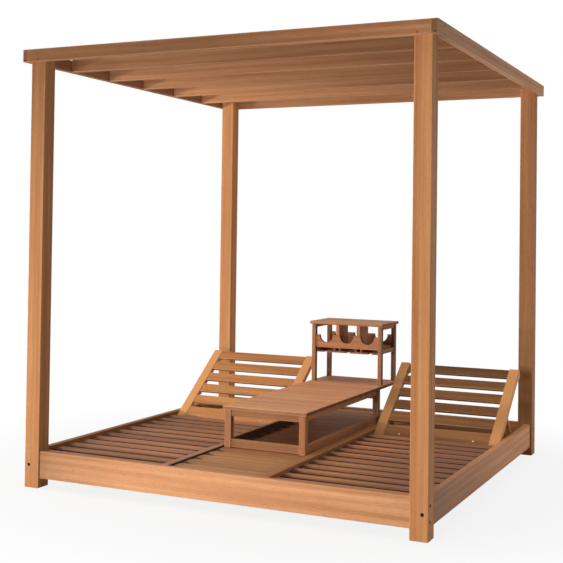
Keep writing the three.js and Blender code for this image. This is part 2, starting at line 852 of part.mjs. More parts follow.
function add_base(parent) {
  for (const side of sides) {
    for (const end of ends) {
      const post = post_geometry(side.sign, end.sign);
      add_piece(parent, `post_${end.name}_${side.name}`, post, post_wood);
    }
    add_piece(parent, `rail_${side.name}`, side_rail_geometry(side.sign), rail_wood);
    add_piece(parent, `mid_rail_${side.name}`, mid_rail_geometry(side.sign), rail_wood);
  }
  for (const end of ends) {
    add_piece(parent, `rail_${end.name}`, cross_rail_geometry(end.sign), rail_wood);
  }
  add_piece(parent, "deck_middle", middle_deck_geometry(), deck_wood);
}

const group = new THREE.Group();
add_base(group);
for (const side of sides) {
  add_bay(group, side);
}
add_table(group);
add_rack(group);
add_canopy(group);

export default group;
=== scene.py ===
# %% [markdown]
# # A garden daybed under a slatted canopy
# The bed is joinery: about a hundred straight boards of an oiled, golden-brown hardwood, a few
# turned rods, and sunk steel fixings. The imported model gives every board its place. Here each
# one is made again with eased edges and a grain of its own, because sharp, evenly coloured
# boards make a render look like a drawing.

# %% Loading the frame
import math

import bmesh
import bpy
import numpy as np
from mathutils import Matrix, Vector


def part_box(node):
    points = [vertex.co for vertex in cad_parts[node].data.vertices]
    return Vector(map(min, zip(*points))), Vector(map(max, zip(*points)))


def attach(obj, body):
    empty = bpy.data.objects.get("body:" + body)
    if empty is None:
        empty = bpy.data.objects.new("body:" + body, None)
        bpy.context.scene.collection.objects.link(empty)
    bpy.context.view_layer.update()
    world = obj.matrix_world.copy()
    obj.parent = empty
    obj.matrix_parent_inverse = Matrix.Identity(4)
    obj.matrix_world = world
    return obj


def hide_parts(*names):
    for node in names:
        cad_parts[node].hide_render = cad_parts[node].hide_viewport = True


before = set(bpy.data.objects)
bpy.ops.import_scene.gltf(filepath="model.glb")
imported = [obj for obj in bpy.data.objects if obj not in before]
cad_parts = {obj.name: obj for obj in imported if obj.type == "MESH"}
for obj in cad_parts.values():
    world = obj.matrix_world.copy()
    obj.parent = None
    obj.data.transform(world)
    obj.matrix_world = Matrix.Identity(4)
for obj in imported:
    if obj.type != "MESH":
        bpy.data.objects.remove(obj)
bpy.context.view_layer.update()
scene = bpy.context.scene
chance = np.random.default_rng(11)
SIDES = (("left", -1), ("right", 1))
ENDS = (("front", -1), ("rear", 1))

# %% [markdown]
# ## Camera
# The photograph was taken from the front right corner with a short telephoto lens. The lens
# shift keeps the posts upright. The numbers come from a fit to the corners of the posts, rails
# and table.

# %% Camera
PHOTO_SIDE = 563
FOCAL_LENGTH = 1065.97
LEVEL_LINE = 213.17
CAMERA_PLACE = (2.2998, -5.1587, 1.2280)
SENSOR = 36
yaw, pitch, roll = (math.radians(angle) for angle in (-25.2687, 1.1859, 0.7542))
ahead = Vector((math.sin(yaw) * math.cos(pitch), math.cos(yaw) * math.cos(pitch), math.sin(pitch)))
level = Vector((math.cos(yaw), -math.sin(yaw), 0))
rise = level.cross(ahead)
right = math.cos(roll) * level + math.sin(roll) * rise
up = math.cos(roll) * rise - math.sin(roll) * level
camera = bpy.data.objects.new("camera", bpy.data.cameras.new("camera"))
turn = Matrix((right, up, -ahead)).transposed().to_4x4()
camera.matrix_world = Matrix.Translation(CAMERA_PLACE) @ turn
camera.data.sensor_width = SENSOR
camera.data.lens = SENSOR * FOCAL_LENGTH / PHOTO_SIDE
camera.data.shift_y = (LEVEL_LINE - PHOTO_SIDE / 2) / PHOTO_SIDE
scene.collection.objects.link(camera)
scene.camera = camera
print("lens", round(camera.data.lens, 2), "mm, shift", round(camera.data.shift_y, 4))

# %% [markdown]
# ## Writing node trees as sums
# A tree is easier to read as an expression than as a list of links. Value wraps one socket, so
# that plain arithmetic on it adds Math nodes, and Graph adds any other node from its type, its
# settings and what feeds its sockets.

# %% Node helpers
class Value:
    def __init__(self, graph, socket):
        self.graph, self.socket = graph, socket

    def __add__(self, other):
        return self.graph.math("ADD", self, other)

    def __sub__(self, other):
        return self.graph.math("SUBTRACT", self, other)

    def __rsub__(self, other):
        return self.graph.math("SUBTRACT", other, self)

    def __mul__(self, other):
        return self.graph.math("MULTIPLY", self, other)

    __radd__, __rmul__ = __add__, __mul__


class Graph:
    def __init__(self, tree):
        self.tree = tree

    def node(self, kind, feeds=None, **settings):
        made = self.tree.nodes.new(kind)
        for name, value in settings.items():
            setattr(made, name, value)
        for key, value in (feeds or {}).items():
            by_name = (s for s in made.inputs if s.name == key and s.enabled)
            target = made.inputs[key] if isinstance(key, int) else next(by_name)
            value = getattr(value, "socket", value)
            if isinstance(value, bpy.types.Node):
                value = value.outputs[0]
            if isinstance(value, bpy.types.NodeSocket):
                self.tree.links.new(value, target)
            else:
                target.default_value = (*value, 1.0) if target.type == "RGBA" else value
        return made

    def value(self, kind, feeds, **settings):
        return Value(self, self.node(kind, feeds, **settings).outputs[0])

    def math(self, operation, *terms, clamp=False):
        feeds = dict(enumerate(terms))
        return self.value("ShaderNodeMath", feeds, operation=operation, use_clamp=clamp)

    def vector(self, operation, *terms):
        return self.node("ShaderNodeVectorMath", dict(enumerate(terms)), operation=operation)

    def parts(self, vector):
        made = self.node("ShaderNodeSeparateXYZ", {0: vector})
        return [Value(self, part) for part in made.outputs]

    def mix(self, share, first, second, blend="MIX"):
        feeds = {0: share, 6: first, 7: second}
        return self.node("ShaderNodeMix", feeds, data_type="RGBA", blend_type=blend).outputs[2]

    def ease(self, value, low, high, start=0.0, end=1.0):
        feeds = {0: value, 1: low, 2: high, 3: start, 4: end}
        return self.value("ShaderNodeMapRange", feeds, interpolation_type="SMOOTHSTEP")

    def noise(self, place, stretch, detail=2.0, roughness=0.5):
        at = self.vector("MULTIPLY", place, stretch)
        feeds = {"Vector": at, "Scale": 1.0, "Detail": detail, "Roughness": roughness}
        return self.value("ShaderNodeTexNoise", feeds)


def new_material(name):
    material = bpy.data.materials.new(name)
    material.use_nodes = True
    material.node_tree.nodes.clear()
    return material, Graph(material.node_tree)


def finish_material(graph, shader):
    graph.node("ShaderNodeOutputMaterial", {"Surface": shader})

# %% [markdown]
# ## Timber: the grain
# Seen close, a board shows growth rings that run as streaks down its length and as arcs on its
# ends, fine dark pores, and a tone of its own. A flat picture can't turn a corner, so the grain
# is a solid: rings round a pith somewhere beside the board, warped by slow noise, and read in
# the board's own measure, length first, which each mesh carries as place, half and seed.

# %% Grain
RING_RATE, WIDE_RING_RATE = 620.0, 170.0


def wood_grain(g, place, seed):
    """Rings, wide rings, streaks, bands, patches and pores of one board, each about 0 to 1."""
    tone, _, pith = g.parts(seed)
    _, sideways, upwards = g.parts(place)
    solid = g.vector("MULTIPLY_ADD", seed, (9.0, 7.0, 5.0), place)
    slow = g.noise(solid, (1.1, 7.0, 7.0), 3.0)
    across = sideways + 0.16 * (tone - 0.5) + 0.035 * (slow - 0.5)
    deep_in = upwards + 0.05 + 0.11 * pith
    radius = g.math("SQRT", across * across + deep_in * deep_in)
    rings = g.math("SINE", radius * RING_RATE + 5.0 * slow) * 0.5 + 0.5
    wide_rings = g.math("SINE", radius * WIDE_RING_RATE + 9.0 * slow) * 0.5 + 0.5
    streaks = g.noise(solid, (1.4, 55.0, 55.0), 4.0, 0.6)
    bands = g.noise(solid, (0.7, 17.0, 17.0), 2.0)
    patches = g.noise(solid, (1.6, 9.0, 9.0), 2.0)
    pores = g.ease(g.noise(solid, (40.0, 900.0, 900.0), 1.0), 0.58, 0.70)
    return rings, wide_rings, streaks, bands, patches, pores

# %% [markdown]
# ## Timber: painted shade, darkening and wear
# Painted shade darkens the grooves beside a board and goes near black towards its ends, where
# the rails shade the gaps. A plank is darker along its front edge, and painted shade of the rails
# darkens its ends. A painted shadow of the rail lies as a dark wedge in the front left corner of a
# slat, of a given length. On the edges the oil wears off and the wood is paler. The middle one of
# the distances to a board's faces is the distance to its nearest edge.

# %% Painted shade, darkening and wear
# the second colour is painted shade, near black, for the wall of a bored hole
DARK_GRAIN_AND_SHADE, HOLE_SHADE = (0.06, 0.022, 0.010), (0.020, 0.009, 0.005)
# painted shade for the grooves, and the colour of the rail's painted shadow wedge
GROOVE_SHADE, WEDGE_SHADOW = (0.040, 0.016, 0.010), (0.022, 0.005, 0.001)
BARE_WOOD = (0.80, 0.58, 0.40)


# Adds painted shade in the grooves and at the ends, a darker front edge, and the rail's painted shadow
# wedge.
def painted_shade_and_darkening(g, body, dark, place, half, bands, groove_shade, groove, front_and_end_dark, shadow_wedge):
    along, sideways, upwards = g.parts(place)
    length, width, depth = g.parts(half)
    waver = bands - 0.5
    near_end = length - g.math("ABSOLUTE", along)
    front = sideways + width
    # darker along the front edge; painted shade of the rails darkens both ends
    if front_and_end_dark:
        body = g.mix(g.ease(front + 0.010 * waver, 0.000, 0.046, front_and_end_dark, 0.0), body, dark)
        body = g.mix(g.ease(near_end + 0.03 * waver, 0.005, 0.075, front_and_end_dark, 0.0), body, dark)
    # painted shadow of the rail: a dark wedge in the front left corner of a slat
    if shadow_wedge:
        corner = along + length + front * 1.3 + 0.012 * waver
        body = g.mix(g.ease(corner, shadow_wedge * 0.55, shadow_wedge, 0.96, 0.0), body, WEDGE_SHADOW)
    # painted shade in the grooves beside a board, near black towards its ends, where the rails shade the
    # gaps
    if groove_shade:
        groove_shaded = g.ease(depth - upwards, *groove, 0.0, groove_shade)
        end_shade = g.ease(near_end, 0.02, 0.17, 0.20, 1.0)
        body = g.mix(groove_shaded, body, g.mix(1.0, GROOVE_SHADE, end_shade, "MULTIPLY"))
    return body


def wear(g, place, half, streaks):
    room = g.parts(g.vector("SUBTRACT", half, g.vector("ABSOLUTE", place)))
    low, high = g.math("MINIMUM", *room[:2]), g.math("MAXIMUM", *room[:2])
    edge = g.math("MAXIMUM", low, g.math("MINIMUM", high, room[2]))
    return g.ease(edge + 0.006 * (streaks - 0.5), 0.0005, 0.005, 1.0, 0.0)

# %% [markdown]
# ## Timber: the finish
# A pale and a deep colour mix by the figure, patches turn ruddy, and the board's tone, which also
# holds painted shade, darkens all. End grain drinks more oil and is darker, and painted shade makes
# the wall of a bored hole nearly black. Shade darkens what the studio left dark, at most by deepest.

# %% Timber
def timber(name, pale, deep, ruddy, contrast=1.0, roughness=0.60, groove_shade=0.0, groove=(0.002, 0.006),
           front_and_end_dark=0.0, sheen=0.15, deepest=0.45, shadow_wedge=0.0):
    material, g = new_material(name)
    read = lambda key, part: g.node("ShaderNodeAttribute", attribute_name=key).outputs[part]
    place, half, seed = (read(key, "Vector") for key in ("place", "half", "seed"))
    ends, shade = (Value(g, read(key, "Fac")) for key in ("end", "shade"))
    tone, hue, _ = g.parts(seed)
    rings, wide_rings, streaks, bands, patches, pores = wood_grain(g, place, seed)
    worn = wear(g, place, half, streaks)

    figure = 0.16 * rings + 0.34 * wide_rings + 1.2 * (streaks - 0.5) + 1.5 * (bands - 0.5)
    share = g.math("MULTIPLY_ADD", figure, contrast, 0.5 - 0.25 * contrast, clamp=True)
    body = g.mix(share, pale, deep)
    body = g.mix(g.ease(patches + 0.4 * (hue - 0.5), 0.45, 0.85, 0.0, 0.55), body, ruddy)
    # dark grain colour, also used for the painted shade at a plank's ends
    dark = g.mix(0.55, body, DARK_GRAIN_AND_SHADE)
    body = g.mix(0.45 * pores, body, dark)
    # the tone, partly painted shade, darkens the board
    body = g.mix(1.0, body, 1.20 - 0.45 * tone, "MULTIPLY")
    body = g.mix(g.math("MINIMUM", 0.8 * ends, 0.8), body, dark)
    # painted shade: the wall of a bored hole is made nearly black
    body = g.mix(g.ease(ends, 1.2, 1.8, 0.0, 0.9), body, HOLE_SHADE)
    lit = 1.0 - g.math("MINIMUM", g.math("MAXIMUM", shade, 0.0), deepest)
    body = g.mix(1.0, body, lit, "MULTIPLY")
    body = painted_shade_and_darkening(g, body, dark, place, half, bands, groove_shade, groove, front_and_end_dark, shadow_wedge)
    body = g.mix(0.30 * worn, body, g.mix(0.35, pale, BARE_WOOD))

    height = 0.4 * rings + 0.8 * streaks - 0.7 * pores
    bump = g.node("ShaderNodeBump", {"Strength": 0.35, "Distance": 0.0005, "Height": height})
    matt = roughness + 0.18 * (streaks - 0.5) + 0.14 * pores + 0.15 * ends - 0.06 * worn
    finish_material(g, g.node("ShaderNodeBsdfPrincipled", {
        "Base Color": body, "Roughness": matt, "Normal": bump, "IOR": 1.45,
        "Specular IOR Level": sheen,
    }))
    return material

# %% [markdown]
# The same tree makes every wood of the bed. The posts and rails keep the fresh golden tone,
# the decks are redder, with painted shade in their gaps and at their ends, the backs yellower,
# and the rack darker and smoother.

# %% Woods
GOLD, BARK, RUDDY = (0.72, 0.335, 0.135), (0.47, 0.185, 0.062), (0.56, 0.215, 0.085)
woods = {
    "post_wood": timber("post timber", GOLD, BARK, RUDDY, 0.9),
    "rail_wood": timber("rail timber", GOLD, BARK, RUDDY),
    # painted shade in the gaps and at the ends, and the rail's painted shadow wedge
    "deck_wood": timber("deck timber", (0.64, 0.285, 0.13), (0.38, 0.145, 0.066), (0.47, 0.19, 0.105),
                        1.2, 0.62, 0.92, (0.0003, 0.0030), 0.75, shadow_wedge=0.080),
    "back_wood": timber("back timber", (0.78, 0.36, 0.115), (0.54, 0.21, 0.055), RUDDY, 0.9),
    "slat_wood": timber("back slat timber", (0.70, 0.32, 0.115), (0.44, 0.165, 0.055), RUDDY, groove_shade=0.6),
    "table_wood": timber("table timber", (0.68, 0.320, 0.145), (0.43, 0.175, 0.075),
                         (0.52, 0.20, 0.09), deepest=0.85),
    "rack_wood": timber("rack timber", (0.60, 0.27, 0.115), (0.36, 0.145, 0.065),
                        (0.46, 0.175, 0.08), 1.0, 0.54, deepest=0.85),
}
# painted shade in the joints and at the ends, and the rail's painted shadow wedge
aisle_wood = timber("aisle timber", (0.60, 0.30, 0.125), (0.42, 0.19, 0.08), (0.50, 0.22, 0.10),
                    0.8, 0.62, 0.8, (0.0003, 0.0020), 0.32, shadow_wedge=0.078)
plank_wood = timber("plank timber", (0.70, 0.335, 0.160), (0.45, 0.19, 0.085), (0.54, 0.21, 0.10),
                    groove_shade=0.55, groove=(0.0015, 0.0045))
high_wood = timber("canopy timber", (0.70, 0.335, 0.160), (0.46, 0.195, 0.088),
                   (0.55, 0.22, 0.105), sheen=0.03)
glossy_wood = timber("outer side timber", GOLD, BARK, RUDDY, sheen=0.34)
# paler colours: the painted sheen of the front light on the front rail
front_sheen_wood = timber("front rail painted sheen timber", (0.80, 0.41, 0.20), (0.55, 0.24, 0.10), (0.62, 0.26, 0.125))
# its sides go near black below the top: painted shade
mid_wood = timber("middle rail timber", (0.62, 0.30, 0.17), (0.42, 0.18, 0.10), (0.50, 0.21, 0.12),
                  groove_shade=0.92, groove=(0.0006, 0.0030))
# the bearers are painted near black: painted shade under the decks
bearer_shade_wood = timber("bearer painted shade", (0.085, 0.040, 0.022), (0.050, 0.022, 0.012),
                     (0.060, 0.026, 0.014))
OWN_WOODS = {
    **{f"canopy_board_{place}_timber": high_wood for place in ("front", "rear", "left")},
    **{f"{place}_bearers": bearer_shade_wood for place in ("aisle", "bay_left", "bay_right")},
    "canopy_board_right_timber": glossy_wood, "rail_right_board": glossy_wood, "rafters": high_wood,
    "rail_front_board": front_sheen_wood, "mid_rail_left_board": mid_wood, "aisle_planks": aisle_wood,
    "table_planks": plank_wood,
}

# %% [markdown]
# ## Steel
# Fixings are zinc plated: grey and slightly cloudy, with fine scratches from the driver.

# %% Steel
def plated_steel(name, pale, deep):
    material, g = new_material(name)
    place = g.node("ShaderNodeTexCoord").outputs["Object"]
    cloud = g.noise(place, (90.0, 90.0, 90.0), 3.0)
    scratches = g.noise(place, (2500.0, 300.0, 300.0), 2.0)
    tint = g.mix(g.ease(cloud, 0.35, 0.65), pale, deep)
    bump = g.node("ShaderNodeBump", {"Strength": 0.2, "Distance": 0.0002, "Height": scratches})
    finish_material(g, g.node("ShaderNodeBsdfPrincipled", {
        "Base Color": tint, "Roughness": 0.26 + 0.25 * cloud + 0.1 * scratches,
        "Normal": bump, "Metallic": 1.0,
    }))
    return material


steel = plated_steel("plated steel", (0.60, 0.585, 0.56), (0.42, 0.40, 0.375))
dark_steel = plated_steel("browned steel", (0.055, 0.045, 0.040), (0.025, 0.020, 0.018))

# %% [markdown]
# ## Boards, plates and rods
# A joiner planes each edge, so that it neither splinters nor cuts. Every board here gets that
# eased edge from a two-step bevel. A board that isn't a plain box, such as a stile with its
# beak, is an outline drawn out over its thickness. Boards are made in a frame of their own, the
# pose, so that a sloping back is as easy as a level deck.

# %% Marking a board's own measure
LEVEL = Matrix.Identity(4)
HOLE_DEPTH = 0.0032


def rows_of(data, field):
    flat = np.empty(len(data) * 3, np.float32)
    data.foreach_get(field, flat)
    return flat.reshape(-1, 3)


def write(mesh, name, values, kind="FLOAT_VECTOR", domain="POINT"):
    layer = mesh.attributes.new(name, kind, domain).data
    field = "vector" if kind == "FLOAT_VECTOR" else "value"
    layer.foreach_set(field, np.ravel(values).astype(np.float32))


def mark(mesh, grain=0, pose=LEVEL, seeded=True, bounds=None):
    """Writes place, half, seed and end, measured in the board's own frame."""
    order = [grain] + [axis for axis in range(3) if axis != grain]
    turn, origin = np.array(pose.to_3x3()), np.array(pose.translation)
    local = (rows_of(mesh.vertices, "co") - origin) @ turn
    low, high = np.array(bounds or (local.min(axis=0), local.max(axis=0)))
    write(mesh, "place", (local - (low + high) / 2)[:, order])
    write(mesh, "half", np.tile(((high - low) / 2)[order], (len(local), 1)))
    if seeded:
        write(mesh, "seed", np.tile(chance.random(3), (len(local), 1)))
    ends = (np.abs(rows_of(mesh.polygons, "normal") @ turn[:, grain]) > 0.7).astype(np.float32)
    inside = (rows_of(mesh.polygons, "center") - origin) @ turn
    # faces deep in a hole get the value 2, which the timber turns into painted shade
    ends[np.minimum(inside - low, high - inside).min(axis=1) > HOLE_DEPTH] = 2.0
    write(mesh, "end", ends, "FLOAT", "FACE")
    return mesh

# %% Boards and plates
def mesh_of(bm):
    mesh = bpy.data.meshes.new("part")
    bmesh.ops.recalc_face_normals(bm, faces=bm.faces[:])
    bm.to_mesh(mesh)
    bm.free()
    return mesh


def ease_edges(bm, width):
    sharp = [edge for edge in bm.edges if edge.calc_face_angle(0) > 0.7]
    bmesh.ops.bevel(bm, geom=sharp, offset=width, segments=2, profile=0.5, affect="EDGES")


def cube(size, middle=(0, 0, 0), pose=LEVEL):
    bm = bmesh.new()
    shape = Matrix.Translation(middle) @ Matrix.Diagonal((*size, 1))
    bmesh.ops.create_cube(bm, size=1, matrix=pose @ shape)
    return bm


def board(xs, ys, zs, grain=0, width=0.0025, pose=LEVEL, seeded=True):
    """A box over three spans, whose ends come in any order."""
    low, high = np.sort([xs, ys, zs]).T
    bm = cube(high - low, (low + high) / 2, pose)
    ease_edges(bm, width)
    return mark(mesh_of(bm), grain, pose, seeded)


def plate(outline, span, width=0.0025, pose=LEVEL):
    """An outline of (Y, Z) points in a frame, drawn out along the frame's X over span."""
    bm = bmesh.new()
    caps = [[bm.verts.new(pose @ Vector((x, *point))) for point in outline] for x in span]
    for cap in caps:
        bm.faces.new(cap)
    for index in range(len(outline)):
        after = (index + 1) % len(outline)
        bm.faces.new((caps[0][index], caps[0][after], caps[1][after], caps[1][index]))
    bmesh.ops.recalc_face_normals(bm, faces=bm.faces[:])
    ease_edges(bm, width)
    return mesh_of(bm)

# %% Rods
ROUND = 8


def skin(rings):
    """A closed surface through rings of points. A ring of more than ROUND points is smooth."""
    bm = bmesh.new()
    rings = [[bm.verts.new(point) for point in ring] for ring in rings]
    sides = len(rings[0])
    for near, far in zip(rings, rings[1:]):
        for index in range(sides):
            after = (index + 1) % sides
            face = bm.faces.new((near[index], near[after], far[after], far[index]))
            face.smooth = sides > ROUND
    bm.faces.new(rings[0])
    bm.faces.new(rings[-1])
    return mesh_of(bm)


def rod(start, end, radius, chamfer=0.0008, sides=24, pose=LEVEL):
    start, end = pose @ Vector(start), pose @ Vector(end)
    axis = end - start
    turn, length = axis.to_track_quat("Z", "Y").to_matrix(), axis.length
    angles = [2 * math.pi * step / sides for step in range(sides)]
    ring = lambda along, reach: [
        start + turn @ Vector((reach * math.cos(a), reach * math.sin(a), along)) for a in angles
    ]
    return skin([ring(0, radius - chamfer), ring(chamfer, radius), ring(length - chamfer, radius),
                 ring(length, radius - chamfer)])


def cutter(start, end, radius, sides=24, pose=LEVEL):
    return rod(start, end, radius, 0.0001, sides, pose)

# %% [markdown]
# Holes are cut with the Boolean modifier after the edges are eased. A piece is then the join
# of its boards, each of which keeps its own closed surface, as in the real frame.

# %% Cutting and joining
def temporary(mesh):
    made = bpy.data.objects.new("work", mesh)
    scene.collection.objects.link(made)
    return made


def plain_mesh(source):
    depsgraph = bpy.context.evaluated_depsgraph_get()
    return bpy.data.meshes.new_from_object(source.evaluated_get(depsgraph))


def join(name, parts):
    layers = {"place": [], "half": [], "seed": []}
    corners, faces, smooth, ends = [], [], [], []
    for part in parts:
        start = sum(len(c) for c in corners)
        corners.append(rows_of(part.vertices, "co"))
        faces += [[start + v for v in face.vertices] for face in part.polygons]
        smooth += [face.use_smooth for face in part.polygons]
        end = part.attributes.get("end")
        ends += [d.value for d in end.data] if end else [0.0] * len(part.polygons)
        for key, rows in layers.items():
            layer = part.attributes.get(key)
            rows.append(rows_of(layer.data, "vector") if layer else np.zeros_like(corners[-1]))
    mesh = bpy.data.meshes.new(name)
    mesh.from_pydata(np.concatenate(corners).tolist(), [], faces)
    mesh.polygons.foreach_set("use_smooth", smooth)
    for key, rows in layers.items():
        write(mesh, key, np.concatenate(rows))
    write(mesh, "end", ends, "FLOAT", "FACE")
    return mesh


def drill(mesh, cutters):
    work, tool = temporary(mesh), temporary(join("cutter", cutters))
    modifier = work.modifiers.new("holes", "BOOLEAN")
    modifier.operation, modifier.solver, modifier.object = "DIFFERENCE", "EXACT", tool
    drilled = plain_mesh(work)
    for used in (work, tool):
        bpy.data.objects.remove(used)
    return drilled

# %% [markdown]
# ## The tone and painted shade of each piece
# The first table gives a piece's tone, 0 pale and 1 dark, and from a pair each board draws its own.
# Its values hold both the wood's own tone and painted shade where the studio's light fell off.
# SHADES darkens a piece by place, where the studio's light reached it unevenly: along a rail
# that runs away from the window, or on one face of a leg.

# %% Tones and shades
TONES_AND_SHADE = {
    "front_left_post": 0.75, "front_right_post": 0.30, "rear_left_post": 0.50, "rear_right_post": 1.10,
    "rail_front_board": 0.42, "rail_right_board": 0.25, "rail_left_board": 1.40,
    "mid_rail_right_board": 0.80, "mid_rail_left_board": 0.75,
    "canopy_board_front_timber": 0.47, "canopy_board_right_timber": 0.47,
    "canopy_board_left_timber": 1.50, "canopy_board_rear_timber": 1.20, "rafters": (0.65, 0.85),
    "bay_left_slats": (0.1, 0.9), "bay_right_slats": (-0.35, 0.45), "aisle_planks": (0.0, 0.4),
    "bay_left_first_slat": 0.5, "bay_right_first_slat": 0.2,
    "back_left_slats": (0.2, 0.70), "back_left_bottom_board": 0.4, "back_right_slats": (1.58, 1.74),
    "back_right_bottom_board": 1.3, "back_right_stile_inner": 1.1,
    "table_planks": (-0.52, -0.22), "table_frame_left": (0.8, 1.1), "table_frame_right": (0.60, 0.76),
    "table_apron_front_board": 1.25, "table_stretcher_front_board": 1.2,
    "rack_top_board": 0.3, "rack_frame_left": (0.7, 1.0), "rack_frame_right": (0.8, 1.1),
    "bottle_cradles_front": 0.4,
}
on_face = lambda values, at: np.abs(values - at) < 0.0003
SHADES = {
    "front_left_post": lambda x, y, z: np.where(x > -0.9301, 0.36, 0.88 * z / 2.104 - 0.54),
    "canopy_board_front_timber": lambda x, y, z: 0.45 - 0.474 * x,
    "canopy_board_right_timber": lambda x, y, z: 0.13 - 0.144 * y,
    "rafters": lambda x, y, z: np.where(x > 0, 0.50, 0.09 - 0.27 * y),
    "rail_right_board": lambda x, y, z: 0.10 - 0.38 * y,
    "rail_front_board": lambda x, y, z: -0.70 * (x + 0.43),
    "bay_left_slats": lambda x, y, z: -0.8 * (x + 0.5),
    "bay_right_slats": lambda x, y, z: 1.5 * (x - 0.47),
    "back_right_slats": lambda x, y, z: np.where(z > 0.437, 0.40, 0.0),
    "table_frame_left": lambda x, y, z: np.where(on_face(x, -0.193), 0.8, 0.0),
    "table_frame_right": lambda x, y, z: np.where(y > 0.5622, 0.65, 0.0),
    "rack_frame_left": lambda x, y, z: np.where(on_face(x, -0.194), 0.62, 0.35 * (y > 0.84)),
    "rack_frame_right": lambda x, y, z: np.where(x > 0.2167, 0.65, 0.35 * (y > 0.84)),
}

# %% Placing a piece
def place_piece(name, parts, slot, body, *nodes, finish=None):
    mesh = parts if isinstance(parts, bpy.types.Mesh) else join(name, parts)
    if name in TONES_AND_SHADE:
        low, high = np.broadcast_to(TONES_AND_SHADE[name], 2)
        layer = mesh.attributes["seed"].data
        seeds = rows_of(layer, "vector")
        seeds[:, 0] = low + (high - low) * seeds[:, 0]
        layer.foreach_set("vector", seeds.ravel())
    if name in SHADES:
        write(mesh, "shade", SHADES[name](*rows_of(mesh.vertices, "co").T), "FLOAT")
    mesh.name = name
    mesh.materials.clear()
    mesh.materials.append(finish or OWN_WOODS.get(name) or (steel if slot == "steel" else woods[slot]))
    made = bpy.data.objects.new(name, mesh)
    scene.collection.objects.link(made)
    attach(made, body)
    if nodes:
        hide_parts(*nodes)


def board_of(node, width):
    low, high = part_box(node)
    longest = int(np.argmax(high - low))
    return board(*zip(low, high), longest, width)

# %% [markdown]
# ## Rows of boards
# Slats, planks and rafters repeat one board at an even step. A Geometry Nodes tree does that: a
# line of points, the board on each, a hair of play, and a random seed for its grain.

# %% Tree for rows of boards
def new_tree(name, inputs):
    tree = bpy.data.node_groups.new(name, "GeometryNodeTree")
    for key, kind in inputs.items():
        tree.interface.new_socket(key, in_out="INPUT", socket_type="NodeSocket" + kind)
    tree.interface.new_socket("Result", in_out="OUTPUT", socket_type="NodeSocketGeometry")
    graph = Graph(tree)
    return tree, graph, graph.node("NodeGroupInput").outputs


def random_vector(g, low, high, seed):
    feeds = {0: low, 1: high, "Seed": seed}
    return g.node("FunctionNodeRandomValue", feeds, data_type="FLOAT_VECTOR")


def finish_tree(g, instances, given):
    seeds = random_vector(g, (0, 0, 0), (1, 1, 1), given["Seed"])
    feeds = {"Geometry": instances, "Name": "seed", "Value": seeds}
    stored = g.node("GeometryNodeStoreNamedAttribute", feeds, data_type="FLOAT_VECTOR", domain="INSTANCE")
    real = g.node("GeometryNodeRealizeInstances", {0: stored})
    painted = g.node("GeometryNodeSetMaterial", {"Geometry": real, "Material": given["Finish"]})
    g.node("NodeGroupOutput", {0: painted})


row_tree, g, given = new_tree("row of boards", {
    "Board": "Geometry", "Count": "Int", "Step": "Vector", "Play": "Vector", "Seed": "Int",
    "Finish": "Material",
})
line = g.node("GeometryNodeMeshLine", {"Count": given["Count"], "Offset": given["Step"]}, mode="OFFSET")
laid = g.node("GeometryNodeInstanceOnPoints", {"Points": line, "Instance": given["Board"]})
back_off = g.vector("MULTIPLY", given["Play"], (-1, -1, -1))
play = random_vector(g, back_off, given["Play"], given["Seed"])
moved = g.node("GeometryNodeTranslateInstances", {"Instances": laid, "Translation": play})
finish_tree(g, moved, given)

# %% Growing a row
def grow(mesh, tree, **inputs):
    """Runs a tree on a mesh and gives back the plain mesh that it makes."""
    source = temporary(mesh)
    modifier = source.modifiers.new("tree", "NODES")
    modifier.node_group = tree
    keys = {item.name: item.identifier for item in tree.interface.items_tree if item.in_out == "INPUT"}
    for name, value in inputs.items():
        modifier[keys[name]] = value
    made = plain_mesh(source)
    bpy.data.objects.remove(source)
    return made


def row_of(name, mesh, count, step, slot, body, nodes, seed, play=(0, 0, 0)):
    made = grow(mesh, row_tree, Count=count, Step=step, Play=play, Seed=seed, Finish=woods[slot])
    print(name, count, "boards,", len(made.polygons), "faces")
    place_piece(name, made, slot, body, *nodes)

# %% [markdown]
# ## Posts
# Near the floor each post is bored from its two outer faces for the bolts that pull the rails
# tight. Their heads sink into counterbores, which show as small dark holes, their walls darkened
# by painted shade.

# %% Posts
POST_FACE, BOLT_LINE, POST_EDGE = 1.010, 0.985, 0.003
BOLT_HEIGHTS_X, BOLT_HEIGHT_Y = (0.078, 0.143), 0.110
COUNTERBORE_RADIUS, COUNTERBORE_DEPTH, SPARE = 0.008, 0.012, 0.002
bolt_seats = []
for end, ey in ENDS:
    for side, sx in SIDES:
        node = f"post_{end}_{side}"
        seats = [(Vector((sx * POST_FACE, ey * BOLT_LINE, z)), Vector((sx, 0, 0))) for z in BOLT_HEIGHTS_X]
        seats.append((Vector((sx * BOLT_LINE, ey * POST_FACE, BOLT_HEIGHT_Y)), Vector((0, ey, 0))))
        bores = [(at + out * SPARE, at - out * COUNTERBORE_DEPTH) for at, out in seats]
        cutters = [cutter(*ends, COUNTERBORE_RADIUS) for ends in bores]
        bolt_seats += [(floor, out) for (_, floor), (_, out) in zip(bores, seats)]
        post = drill(board_of(node, POST_EDGE), cutters)
        for key in ("place", "half", "seed", "end"):
            post.attributes.remove(post.attributes[key])
        place_piece(f"{end}_{side}_post", [mark(post, 2)], "post_wood", "bed", node)

# %% [markdown]
# ## Base rails and canopy
# These are plain planed boards. The rafters lie between the canopy's side boards at an even step.

